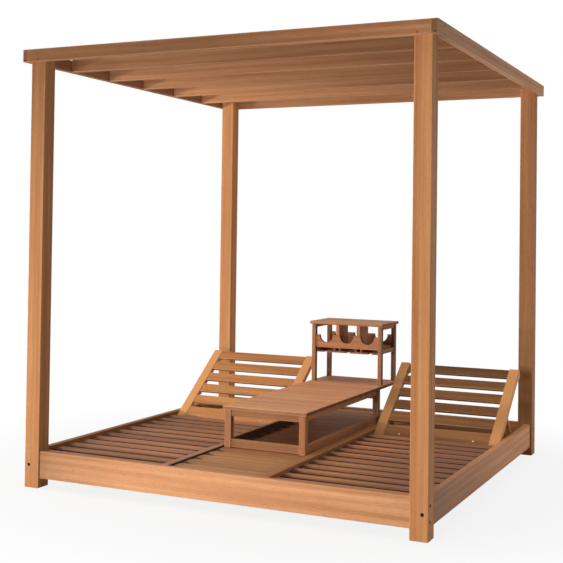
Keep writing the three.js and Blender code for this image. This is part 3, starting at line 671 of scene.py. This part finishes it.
# %% Rails, canopy boards and rafters
RAIL_EDGE, CANOPY_EDGE, RAFTER_PROUD, RAFTERS = 0.003, 0.001, 0.0045, 5
for node in ("rail_front", "rail_rear", "rail_left", "rail_right", "mid_rail_left", "mid_rail_right"):
    place_piece(f"{node}_board", [board_of(node, RAIL_EDGE)], "rail_wood", "bed", node)
for place in ("front", "rear", "left", "right"):
    node = f"canopy_board_{place}"
    place_piece(f"{node}_timber", [board_of(node, CANOPY_EDGE)], "rail_wood", "bed", node)

low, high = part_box("rafter_1")
rafter_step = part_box("rafter_2")[0] - low
rafter = board(*zip(low, high + Vector((0, 0, RAFTER_PROUD))), 0, CANOPY_EDGE, seeded=False)
row_of("rafters", rafter, RAFTERS, rafter_step, "rail_wood", "bed",
       [f"rafter_{index + 1}" for index in range(RAFTERS)], 3)

# %% [markdown]
# ## Decks
# Each lounging bay is floored with twelve slats on two bearers, with gaps for rain, the first
# one notched round the post. The aisle lies 8 mm higher and is closed, because the table slides
# on it: only its planks' cut corners leave a notch at each end of a joint, dark from the painted
# shade on the bearers and the middle rail beneath.

# %% The bays' slats and bearers
SLAT_TOP, SLAT_UNDER, BEARER_UNDER = 0.160, 0.142, 0.112
SLAT_WIDTH, SLAT_STEP, BAY_FRONT, BAY_SLATS = 0.082, 0.106, -0.957, 12
BAY_INNER, BAY_OUTER, BEARER_WIDTH, POST_CLEAR, GAP = 0.272, 0.970, 0.025, 0.929, 0.001
BEARER_EDGE, SLAT_EDGE = 0.0015, 0.0045
SLAT_PLAY, PLANK_PLAY = (0.0003, 0.0008, 0.0), (0.0003, 0.0003, 0.0)
TURN_FLAT = Matrix(((0, 1, 0), (0, 0, 1), (1, 0, 0))).to_4x4()


def bearer(x, direction, front, rear, lift=0.0):
    xs, zs = (x, x + direction * BEARER_WIDTH), (BEARER_UNDER + lift, SLAT_UNDER + lift)
    return board(xs, (front, rear), zs, 1, BEARER_EDGE)


def notched_slat(sx):
    inner, outer, rear = sx * (BAY_INNER + GAP), sx * (BAY_OUTER - GAP), BAY_FRONT + SLAT_WIDTH
    notch = sx * POST_CLEAR
    outline = [(inner, BAY_FRONT), (notch, BAY_FRONT), (notch, -POST_CLEAR), (outer, -POST_CLEAR),
               (outer, rear), (inner, rear)]
    return mark(plate(outline, (SLAT_UNDER, SLAT_TOP), 0.004, TURN_FLAT))


second = BAY_FRONT + SLAT_STEP
bay_rear = BAY_FRONT + BAY_SLATS * SLAT_STEP - (SLAT_STEP - SLAT_WIDTH)
for side, sx in SIDES:
    edges = ((BAY_INNER, sx), (BAY_OUTER, -sx))
    parts = [bearer(sx * x, direction, BAY_FRONT, bay_rear) for x, direction in edges]
    place_piece(f"bay_{side}_bearers", parts, "deck_wood", "bed", f"deck_{side}")
    place_piece(f"bay_{side}_first_slat", [notched_slat(sx)], "deck_wood", "bed")
    slat = board((sx * (BAY_INNER + GAP), sx * (BAY_OUTER - GAP)), (second, second + SLAT_WIDTH),
                 (SLAT_UNDER, SLAT_TOP), 0, SLAT_EDGE, seeded=False)
    row_of(f"bay_{side}_slats", slat, BAY_SLATS - 1, (0, SLAT_STEP, 0), "deck_wood", "bed", (),
           20 + sx, SLAT_PLAY)

# %% The aisle's planks
AISLE_HALF, AISLE_PLANK, AISLE_PLANKS, AISLE_TOP, AISLE_THICK = 0.234, 0.104, 18, 0.168, 0.018
AISLE_GAP, AISLE_JOINT, CORNER_CUT = 0.006, 0.002, 0.012


def aisle_plank(front):
    reach, cut, rear = AISLE_HALF - AISLE_GAP, CORNER_CUT, front + AISLE_PLANK
    right_end = [(reach - cut, front), (reach, front + cut), (reach, rear - cut), (reach - cut, rear)]
    outline = right_end + [(-x, y) for x, y in reversed(right_end)]
    return mark(plate(outline, (AISLE_TOP - AISLE_THICK, AISLE_TOP), 0.0012, TURN_FLAT), seeded=False)


lift = AISLE_TOP - SLAT_TOP
parts = [bearer(sx * AISLE_HALF, -sx, -BAY_OUTER, BAY_OUTER, lift) for _, sx in SIDES]
place_piece("aisle_bearers", parts, "deck_wood", "bed", "deck_middle")
aisle_front = BAY_FRONT + SLAT_WIDTH + (SLAT_STEP - SLAT_WIDTH + AISLE_JOINT) / 2 - SLAT_STEP
row_of("aisle_planks", aisle_plank(aisle_front), AISLE_PLANKS, (0, SLAT_STEP, 0), "deck_wood", "bed", (),
       5, PLANK_PLAY)

# %% [markdown]
# ## Reclining backs
# A back is a ladder: two stiles and six boards let into them. The stile's foot is round, so that
# it can turn on its bolt, and a beak behind its top end serves to lift the back. All is drawn in
# the back's own frame, whose Y runs up the stile and whose Z points to its front, and which
# leans at the angle of the photograph.

# %% Outline of a stile
REST = math.radians(36.7)
PIVOT = Vector((0, 0.354, 0.145))
BACK = Matrix.Translation(PIVOT) @ Matrix.Rotation(REST, 4, "X")
BAY_MIDDLE, STILE_OUTER, STILE_INNER = 0.621, 0.345, 0.290
STILE_HALF, STILE_TOP, FOOT_CENTRE = 0.015, 0.568, -0.005
BEAK_START, BEAK_PEAK, BEAK_DEPTH = 0.478, 0.538, 0.014


def curve(points, steps):
    """Points of a Bezier curve through its control points."""
    order = len(points) - 1
    out = []
    for step in range(1, steps + 1):
        t = step / steps
        shares = [math.comb(order, k) * t**k * (1 - t) ** (order - k) for k in range(order + 1)]
        out.append(tuple(sum(s * p[axis] for s, p in zip(shares, points)) for axis in (0, 1)))
    return out


def arc(centre, radius, start, end, steps):
    angles = [start + (end - start) * step / steps for step in range(steps + 1)]
    return [(centre[0] + radius * math.cos(a), centre[1] + radius * math.sin(a)) for a in angles]


def stile_outline():
    ramp, peak = (BEAK_START + BEAK_PEAK) / 2, -STILE_HALF - BEAK_DEPTH
    points = [(BEAK_START, -STILE_HALF)]
    points += curve([(BEAK_START, -STILE_HALF), (ramp, -STILE_HALF), (ramp, peak), (BEAK_PEAK, peak)], 10)
    points += curve([(BEAK_PEAK, peak), (STILE_TOP, peak), (STILE_TOP, -STILE_HALF / 2)], 8)
    points.append((STILE_TOP, STILE_HALF))
    return points + arc((FOOT_CENTRE, 0), STILE_HALF, math.pi / 2, 1.5 * math.pi, 14)


# %% Stiles and slats
HINGE_ALONG, HINGE_BACK = 0.222, 0.024
BOLT_HOLE, HEAD_HOLE, HEAD_DEPTH = 0.0053, 0.0083, 0.0063
LUG_INNER, LUG_OUTER, LUG_RADIUS, LUG_ROOT = 0.300, 0.320, 0.009, -0.0145
BOARD_DEPTH, BOARD_EDGE, TENON_GAP = (0.0, 0.013), 0.002, 0.0003
BOTTOM_BOARD, FIRST_SLAT, BACK_SLATS, BACK_STEP = (-0.0085, 0.0735), (0.107, 0.171), 5, 0.0975


def stile(sx, outward):
    x = lambda reach: sx * (BAY_MIDDLE + outward * reach)
    bore = lambda a, b, radius, along=0.0, up=0.0: cutter(
        (x(a), along, up), (x(b), along, up), radius, pose=BACK)
    body = plate(stile_outline(), (x(STILE_INNER), x(STILE_OUTER)), pose=BACK)
    holes = [bore(STILE_INNER - SPARE, STILE_OUTER + SPARE, BOLT_HOLE),
             bore(STILE_INNER - SPARE, STILE_INNER + HEAD_DEPTH, HEAD_HOLE)]
    front, rear = HINGE_ALONG - LUG_RADIUS, HINGE_ALONG + LUG_RADIUS
    outline = arc((HINGE_ALONG, -HINGE_BACK), LUG_RADIUS, math.pi, 2 * math.pi, 12)
    lug = plate([(front, LUG_ROOT), *outline, (rear, LUG_ROOT)], (x(LUG_INNER), x(LUG_OUTER)), 0.001, BACK)
    pin_hole = bore(LUG_INNER - SPARE, LUG_OUTER + SPARE, BOLT_HOLE, HINGE_ALONG, -HINGE_BACK)
    return [mark(drill(body, holes), 1, BACK), mark(drill(lug, [pin_hole]), 2, BACK)]


def back_board(sx, span, seeded=True):
    reach = STILE_INNER - TENON_GAP
    return board((sx * BAY_MIDDLE - reach, sx * BAY_MIDDLE + reach), span, BOARD_DEPTH, 0, BOARD_EDGE,
                 BACK, seeded)


for side, sx in SIDES:
    body = f"back_{side}"
    for place, outward in (("inner", -1), ("outer", 1)):
        node = f"backrest_{side}_stile_{place}"
        place_piece(f"back_{side}_stile_{place}", stile(sx, outward), "back_wood", body, node)
    bottom = back_board(sx, BOTTOM_BOARD)
    place_piece(f"back_{side}_bottom_board", [bottom], "slat_wood", body, f"backrest_{side}_bottom_board")
    step = BACK.to_3x3() @ Vector((0, BACK_STEP, 0))
    row_of(f"back_{side}_slats", back_board(sx, FIRST_SLAT, False), BACK_SLATS, step, "slat_wood", body,
           [f"backrest_{side}_slat_{index + 1}" for index in range(BACK_SLATS)], 40 + sx, (0.0001, 0, 0))

# %% [markdown]
# ## Props and notched strips
# A prop hangs from each back on two pins: two legs and a round bar. The notch of the strips into
# which the bar drops sets the slope. A raised landing at the strips' rear carries the beaks when
# the back lies flat.

# %% Props
PROP_LENGTH, PROP_HALF, BAR_RADIUS, PIN_RADIUS = 0.185, 0.008, 0.009, 0.005
PROP_INNER, PROP_OUTER, PROP_THICK, BAR_DROP = 0.323, 0.343, 0.020, 0.025
PIN_INNER, PIN_OUTER, PIN_LENGTH = 0.303, 0.335, 0.032


def prop_slope(angle):
    rise = HINGE_ALONG * math.sin(angle) - HINGE_BACK * math.cos(angle)
    return math.asin((rise + BAR_DROP) / PROP_LENGTH)


def prop_parts(sx):
    hinge = BACK @ Vector((0, HINGE_ALONG, -HINGE_BACK))
    own = Matrix.Translation(hinge) @ Matrix.Rotation(-prop_slope(REST), 4, "X")
    outline = arc((PROP_LENGTH, 0), PROP_HALF, -math.pi / 2, math.pi / 2, 10)
    outline += arc((0, 0), PROP_HALF, math.pi / 2, 1.5 * math.pi, 10)
    parts = []
    for outward in (-1, 1):
        x = lambda reach: sx * BAY_MIDDLE + outward * reach
        start = min(x(PROP_INNER), x(PROP_OUTER))
        parts.append(mark(plate(outline, (start, start + PROP_THICK), 0.0015, own), 1, own))
        pin = rod((x(PIN_INNER), 0, 0), (x(PIN_OUTER), 0, 0), PIN_RADIUS, pose=own)
        bounds = ((start, -PIN_RADIUS, -PIN_RADIUS), (start + PIN_LENGTH, PIN_RADIUS, PIN_RADIUS))
        parts.append(mark(pin, 0, own, bounds=bounds))
    near, far = (sx * BAY_MIDDLE + reach for reach in (-PROP_OUTER, PROP_OUTER))
    bar = rod((near, PROP_LENGTH, 0), (far, PROP_LENGTH, 0), BAR_RADIUS, 0.001, 32, own)
    return parts + [mark(bar, 0, own)]


# %% Notched strips
STRIP_FRONT, STRIP_REAR, STRIP_FLOOR, STRIP_CREST, STRIP_WIDTH = 0.585, 0.926, 0.076, 0.1055, 0.026
LANDING_FRONT, LANDING_TOP, NOTCH_RADIUS, NOTCH_SLOPES = 0.826, 0.1157, 0.010, (45, 36.7, 24, 12)


def bar_y(degrees):
    """How far back the prop's bar lies when the back slopes by so many degrees."""
    angle = math.radians(degrees)
    run = HINGE_ALONG * math.cos(angle) + HINGE_BACK * math.sin(angle)
    return PIVOT.y + run + PROP_LENGTH * math.cos(prop_slope(angle))


outline = [(STRIP_FRONT, STRIP_FLOOR), (STRIP_FRONT, STRIP_CREST)]
for degrees in NOTCH_SLOPES:
    outline += arc((bar_y(degrees), STRIP_CREST), NOTCH_RADIUS, math.pi, 2 * math.pi, 10)
outline += [(LANDING_FRONT, STRIP_CREST), (LANDING_FRONT, LANDING_TOP), (STRIP_REAR, LANDING_TOP),
            (STRIP_REAR, STRIP_FLOOR)]
for side, sx in SIDES:
    place_piece(f"prop_{side}_timber", prop_parts(sx), "back_wood", f"prop_{side}", f"prop_frame_{side}")
    for place, face, toward in (("inner", BAY_INNER, 1), ("outer", BAY_OUTER, -1)):
        span = sorted((sx * face, sx * (face + toward * STRIP_WIDTH)))
        strip = mark(plate(outline, span, 0.001), 1)
        place_piece(f"strip_{side}_{place}", [strip], "rail_wood", "bed", f"notched_strip_{side}_{place}")
print("notches at", [round(bar_y(degrees), 3) for degrees in NOTCH_SLOPES])

# %% [markdown]
# ## Sliding table
# The table stands on the aisle's planks and slides along them. Its top is fourteen planks
# across two battens, and each side is a frame of two legs, an apron and a low rail.

# %% Sliding table
TOP_HALF, TABLE_FRONT, TABLE_REAR, TABLE_TOP, PLANK_UNDER = 0.228, -0.460, 0.885, 0.376, 0.358
PLANKS, PLANK_GAP, TABLE_EDGE = 14, 0.004, 0.002
LEG_OUTER, LEG_INNER, TABLE_FOOT, TABLE_RAIL = 0.220, 0.186, 0.1683, 0.020
FRONT_LEG, REAR_LEG = (-0.452, -0.418), (0.563, 0.597)
TABLE_RAILS = ((PLANK_UNDER - 0.028, PLANK_UNDER), (0.172, 0.213))
BATTEN_X, BATTEN_HALF, BATTEN_Y, BATTEN_UNDER = 0.150, 0.0225, (-0.425, 0.870), 0.338

plank = (TABLE_REAR - TABLE_FRONT - (PLANKS - 1) * PLANK_GAP) / PLANKS
mesh = board((-TOP_HALF, TOP_HALF), (TABLE_FRONT, TABLE_FRONT + plank), (PLANK_UNDER, TABLE_TOP), 0,
             TABLE_EDGE, seeded=False)
row_of("table_planks", mesh, PLANKS, (0, plank + PLANK_GAP, 0), "table_wood", "table", ("table_top",), 8,
       (0.0002, 0.0002, 0.0))
battens = [
    board((x - BATTEN_HALF, x + BATTEN_HALF), BATTEN_Y, (BATTEN_UNDER, PLANK_UNDER), 1, TABLE_EDGE)
    for x in (-BATTEN_X, BATTEN_X)
]
place_piece("table_battens", battens, "table_wood", "table")


def side_frame(sx, outer, inner, rail, legs, zs, rails, width):
    """Two legs and the rails between them, each rail given by its lowest and highest Z."""
    (_, start), (end, _) = legs
    middle = (inner + outer) / 2
    parts = [board((sx * inner, sx * outer), ys, zs, 2, width) for ys in legs]
    xs = (sx * (middle - rail / 2), sx * (middle + rail / 2))
    return parts + [board(xs, (start, end), rail_zs, 1, width) for rail_zs in rails]


for side, sx in SIDES:
    parts = side_frame(sx, LEG_OUTER, LEG_INNER, TABLE_RAIL, (FRONT_LEG, REAR_LEG),
                       (TABLE_FOOT, PLANK_UNDER), TABLE_RAILS, TABLE_EDGE)
    place_piece(f"table_frame_{side}", parts, "table_wood", "table", f"table_side_{side}")
for node in ("table_apron_front", "table_apron_rear", "table_stretcher_front"):
    place_piece(f"{node}_board", [board_of(node, TABLE_EDGE)], "table_wood", "table", node)

# %% [markdown]
# ## Bottle and glass rack
# The rack's top has a hollow moulding under the edge, two boards with half-round cradles hold
# bottles by neck and belly, and T-shaped rails below the shelf take glasses by the foot.

# %% Rack top and bottle boards
RACK_FRONT_LEG, RACK_REAR_LEG = (0.617, 0.646), (0.845, 0.874)
RACK_OUTER, RACK_INNER, RACK_UNDER, RACK_EDGE, RACK_RAIL = 0.217, 0.194, 0.709, 0.0015, 0.015
RACK_RAILS = ((0.552, 0.575), (RACK_UNDER - 0.020, RACK_UNDER))
BOARD_LOW, BOARD_HIGH, BOARD_HALF = 0.574, 0.648, 0.009
CRADLE, SPACING, CRADLE_RISE, HOLLOW = 0.041, 0.128, 0.004, 0.008
NOSING = [(0.0, 0.723), (0.0006, 0.7252), (0.0018, 0.7264), (0.004, 0.727)]
CRADLE_FRAME = Matrix(((0, 1, 0), (1, 0, 0), (0, 0, 1))).to_4x4()

low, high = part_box("rack_top")
turns = np.linspace(0, math.pi / 2, 7)
hollow = [(HOLLOW * (1 - math.sin(a)), RACK_UNDER + HOLLOW * (1 - math.cos(a))) for a in turns]
rings = []
for inset, z in hollow + NOSING:
    x, front, rear = high.x - inset, low.y + inset, high.y - inset
    rings.append([(-x, front, z), (x, front, z), (x, rear, z), (-x, rear, z)])
place_piece("rack_top_board", [mark(skin(rings))], "rack_wood", "table", "rack_top")


def cradle_board(span):
    """A bottle board: its outline lies in X and Z, and is drawn out along Y."""
    drop = math.asin(CRADLE_RISE / CRADLE)
    points = [(-RACK_INNER, BOARD_LOW), (-RACK_INNER, BOARD_HIGH)]
    for x in (-SPACING, 0, SPACING):
        points += arc((x, BOARD_HIGH - CRADLE_RISE), CRADLE, math.pi - drop, 2 * math.pi + drop, 20)
    points += [(RACK_INNER, BOARD_HIGH), (RACK_INNER, BOARD_LOW)]
    return mark(plate(points, span, 0.0012, CRADLE_FRAME))


middles = [sum(leg) / 2 for leg in (RACK_FRONT_LEG, RACK_REAR_LEG)]
for name, middle in zip(("front", "rear"), middles):
    place_piece(f"bottle_cradles_{name}", [cradle_board((middle - BOARD_HALF, middle + BOARD_HALF))],
                "rack_wood", "table", f"bottle_board_{name}")

# %% Rack frames and glass shelf
SHELF_THICK, SHELF_EDGE, RIB_Z, LEDGE_Z = 0.012, 0.001, (0.555, BOARD_LOW), (0.545, 0.555)
RIBS, RIB_HALF, END_RIB = (0.050, 0.083), 0.0045, 0.186
LEDGES = ((0.012, 0.12475), (0.14875, RACK_INNER))
DIVIDER, DIVIDER_LENGTH = (0.054, 0.074), 0.140

for side, sx in SIDES:
    parts = side_frame(sx, RACK_OUTER, RACK_INNER, RACK_RAIL, (RACK_FRONT_LEG, RACK_REAR_LEG),
                       (TABLE_TOP, RACK_UNDER), RACK_RAILS, RACK_EDGE)
    place_piece(f"rack_frame_{side}", parts, "rack_wood", "table", f"rack_side_{side}")

shelf_y, shelf_top = (middles[0] + BOARD_HALF, middles[1] - BOARD_HALF), BOARD_LOW + SHELF_THICK
parts = [board((-RACK_INNER, RACK_INNER), shelf_y, (BOARD_LOW, shelf_top), 0, SHELF_EDGE)]
for _, sx in SIDES:
    strip = lambda a, b, zs: board((sx * a, sx * b), shelf_y, zs, 1, SHELF_EDGE)
    parts += [strip(x - RIB_HALF, x + RIB_HALF, RIB_Z) for x in RIBS]
    parts.append(strip(END_RIB, RACK_INNER, RIB_Z))
    parts += [strip(*ledge, LEDGE_Z) for ledge in LEDGES]
    parts.append(board([sx * x for x in DIVIDER], (shelf_y[0], shelf_y[0] + DIVIDER_LENGTH),
                       (shelf_top, RACK_UNDER), 2, SHELF_EDGE))
place_piece("glass_shelf", parts, "rack_wood", "table", "stemware_shelf")

# %% [markdown]
# ## Fixings
# One head of each kind is modelled, and a second tree sets it on a list of points, turned to
# face outwards and spun by a random angle, as a hand-driven screw ends up.

# %% Tree for fixings
fixing_tree, g, given = new_tree(
    "fixings on points", {"Points": "Geometry", "Fixing": "Object", "Seed": "Int", "Finish": "Material"})
facing = g.node("GeometryNodeInputNamedAttribute", {"Name": "facing"}, data_type="FLOAT_VECTOR")
turned = g.node("FunctionNodeAlignRotationToVector", {"Vector": facing}, axis="Z")
head = g.node("GeometryNodeObjectInfo", {"Object": given["Fixing"]}).outputs["Geometry"]
feeds = {"Points": given["Points"], "Instance": head, "Rotation": turned}
set_down = g.node("GeometryNodeInstanceOnPoints", feeds)
spin = random_vector(g, (0, 0, 0), (0, 0, 6.28), given["Seed"])
spun = g.node("GeometryNodeRotateInstances", {"Instances": set_down, "Rotation": spin})
finish_tree(g, spun, given)

# %% Heads and how they are set
def screw_head(radius, slot=0.001):
    """A flush screw head with a cross recess, seen from +Z, its rim at the origin's height."""
    dome = rod((0, 0, -0.002), (0, 0, 0.0004), radius, 0.0004, 12)
    for size in ((radius * 1.1, slot, 0.0024), (slot, radius * 1.1, 0.0024)):
        dome = drill(dome, [mesh_of(cube(size))])
    return dome


def bolt_head(radius, height):
    body = rod((0, 0, 0), (0, 0, height), radius)
    return drill(body, [cutter((0, 0, height * 0.3), (0, 0, height + 0.001), radius * 0.5, 6)])


def set_fixings(name, head_mesh, seats, body, seed, finish=None):
    points = bpy.data.meshes.new(name)
    points.from_pydata([tuple(at) for at, _ in seats], [], [])
    write(points, "facing", [tuple(out) for _, out in seats])
    fixing = temporary(head_mesh)
    made = grow(points, fixing_tree, Fixing=fixing, Seed=seed, Finish=steel)
    bpy.data.objects.remove(fixing)
    print(name, len(seats), "fixings,", len(made.polygons), "faces")
    place_piece(name, made, "steel", body, finish=finish)

# %% Bolts and deck screws
DECK_SCREW, CANOPY_SCREW, UP = 0.0042, 0.0045, (0, 0, 1)
SCREW_IN, SCREW_SPREAD, AISLE_SCREW_X, AISLE_SINK = 0.0135, 0.022, 0.2125, 0.0005

set_fixings("frame_bolts", bolt_head(0.0068, 0.004), bolt_seats, "bed", 2, dark_steel)
seats = []
for _, sx in SIDES:
    for index in range(BAY_SLATS):
        y = BAY_FRONT + index * SLAT_STEP + SLAT_WIDTH / 2
        # the notched first slat has no outer screws
        for x in (BAY_INNER + SCREW_IN, BAY_OUTER - SCREW_IN)[:1 if index == 0 else 2]:
            seats += [((sx * x, y + shift, SLAT_TOP), UP) for shift in (-SCREW_SPREAD, SCREW_SPREAD)]
for index in range(AISLE_PLANKS):
    y = aisle_front + index * SLAT_STEP + AISLE_PLANK / 2
    seats += [((x, y, AISLE_TOP - AISLE_SINK), UP) for x in (-AISLE_SCREW_X, AISLE_SCREW_X)]
set_fixings("deck_screws", screw_head(DECK_SCREW), seats, "bed", 4, dark_steel)

# %% Canopy and back screws
CANOPY_FACE, CORNER_LINES, CORNER_HEIGHTS = 1.040, (0.953, 1.026), (2.058, 2.092)
RAFTER_LINES, RAFTER_HEIGHT = (-0.6733, -0.3367, 0.0, 0.3367, 0.6733), 2.080
BACK_SCREW_X, BACK_SCREW_ALONG = 0.204, 0.009

seats = []
for _, sx in SIDES:
    for _, ey in ENDS:
        seats += [((sx * CANOPY_FACE, ey * CORNER_LINES[0], z), (sx, 0, 0)) for z in CORNER_HEIGHTS]
        seats += [((sx * x, ey * CANOPY_FACE, CORNER_HEIGHTS[0]), (0, ey, 0)) for x in CORNER_LINES]
    seats += [((sx * CANOPY_FACE, y, RAFTER_HEIGHT), (sx, 0, 0)) for y in RAFTER_LINES]
set_fixings("canopy_screws", screw_head(CANOPY_SCREW), seats, "bed", 6, dark_steel)

back_normal = BACK.to_3x3() @ Vector(UP)
for side, sx in SIDES:
    seats = [
        (BACK @ Vector((sx * BAY_MIDDLE + x, BACK_SCREW_ALONG, BOARD_DEPTH[1])), back_normal)
        for x in (-BACK_SCREW_X, BACK_SCREW_X)
    ]
    set_fixings(f"back_{side}_screws", screw_head(DECK_SCREW), seats, f"back_{side}", 30 + sx)

# %% [markdown]
# The backs turn on four cap bolts. Each head lies flush in the stile and its shank runs
# through into the rail.

# %% Pivot bolts
HEAD_SPAN, SHANK_SPAN, SOCKET_SPAN = (0.290, 0.296), (0.2955, 0.367), (0.2895, 0.294)
for side, sx in SIDES:
    for place, outward in (("inner", -1), ("outer", 1)):
        across = lambda span: [(sx * (BAY_MIDDLE + outward * x), PIVOT.y, PIVOT.z) for x in span]
        head = drill(rod(*across(HEAD_SPAN), 0.008, sides=32), [cutter(*across(SOCKET_SPAN), 0.004, 6)])
        parts = [head, rod(*across(SHANK_SPAN), 0.005)]
        place_piece(f"back_{side}_bolt_{place}", parts, "steel", "bed", f"pivot_bolt_{side}_{place}")

# %% [markdown]
# ## Studio
# A large low window on the left, whose shadows run up the rafters, and an even light from above
# lit the photograph. The floor is pale and fades to the white of the backdrop.

# %% Floor and backdrop
def seen_directly(g):
    rays = g.node("ShaderNodeLightPath").outputs
    return g.math("MAXIMUM", Value(g, rays["Is Camera Ray"]), Value(g, rays["Is Glossy Ray"]))


material, g = new_material("studio floor")
place = g.node("ShaderNodeTexCoord").outputs["Object"]
away = Value(g, g.vector("LENGTH", place).outputs["Value"])
x, y, _ = g.parts(g.vector("ABSOLUTE", place))
outside = g.ease(g.math("MAXIMUM", x, y), 0.50, 0.80)
share = seen_directly(g) * outside * g.ease(away, 1.2, 2.4, 0.85, 1.0)
matt = g.node("ShaderNodeBsdfDiffuse", {"Color": (0.80, 0.80, 0.80)})
white = g.node("ShaderNodeEmission", {"Color": (1, 1, 1), "Strength": 1.0})
finish_material(g, g.node("ShaderNodeMixShader", {0: share, 1: matt, 2: white}))

bm = bmesh.new()
bmesh.ops.create_grid(bm, x_segments=1, y_segments=1, size=30)
floor = bpy.data.objects.new("studio_floor", mesh_of(bm))
floor.data.materials.append(material)
if floor.data.polygons[0].normal.z < 0:
    floor.data.flip_normals()
scene.collection.objects.link(floor)

scene.world = bpy.data.worlds.new("studio")
scene.world.use_nodes = True
scene.world.node_tree.nodes.clear()
g = Graph(scene.world.node_tree)
feeds = {"Color": (1, 1, 1), "Strength": 0.10 + 0.90 * seen_directly(g)}
g.node("ShaderNodeOutputWorld", {"Surface": g.node("ShaderNodeBackground", feeds)})

# %% Lights
def soft_light(name, place, target, size, power, tint):
    light = bpy.data.lights.new(name, "AREA")
    light.shape, light.size, light.size_y = "RECTANGLE", *size
    light.energy, light.color = power, tint
    made = bpy.data.objects.new(name, light)
    turn = (Vector(target) - Vector(place)).to_track_quat("-Z", "Y")
    made.matrix_world = Matrix.Translation(place) @ turn.to_matrix().to_4x4()
    made.visible_camera = False
    scene.collection.objects.link(made)


soft_light("left_window", (-5.2, -1.5, 0.80), (0, 0, 1.4), (1.6, 0.25), 214, (1.0, 0.985, 0.96))
soft_light("low_front", (-0.3, -3.5, 0.40), (0, -1.0, 0.6), (1.6, 0.5), 42, (1.0, 0.99, 0.97))
soft_light("front_window", (-3.6, -5.6, 1.35), (0, 0, 1.0), (2.2, 2.2), 42, (1.0, 0.99, 0.97))
soft_light("ceiling", (-0.5, -0.5, 5.5), (0, 0, 0), (5.0, 5.0), 136, (1.0, 0.99, 0.98))
soft_light("right_rear", (3.6, 2.6, 1.2), (0.6, 0.4, 0.9), (1.6, 1.6), 28, (1.0, 0.99, 0.98))
scene.view_settings.view_transform = "Standard"
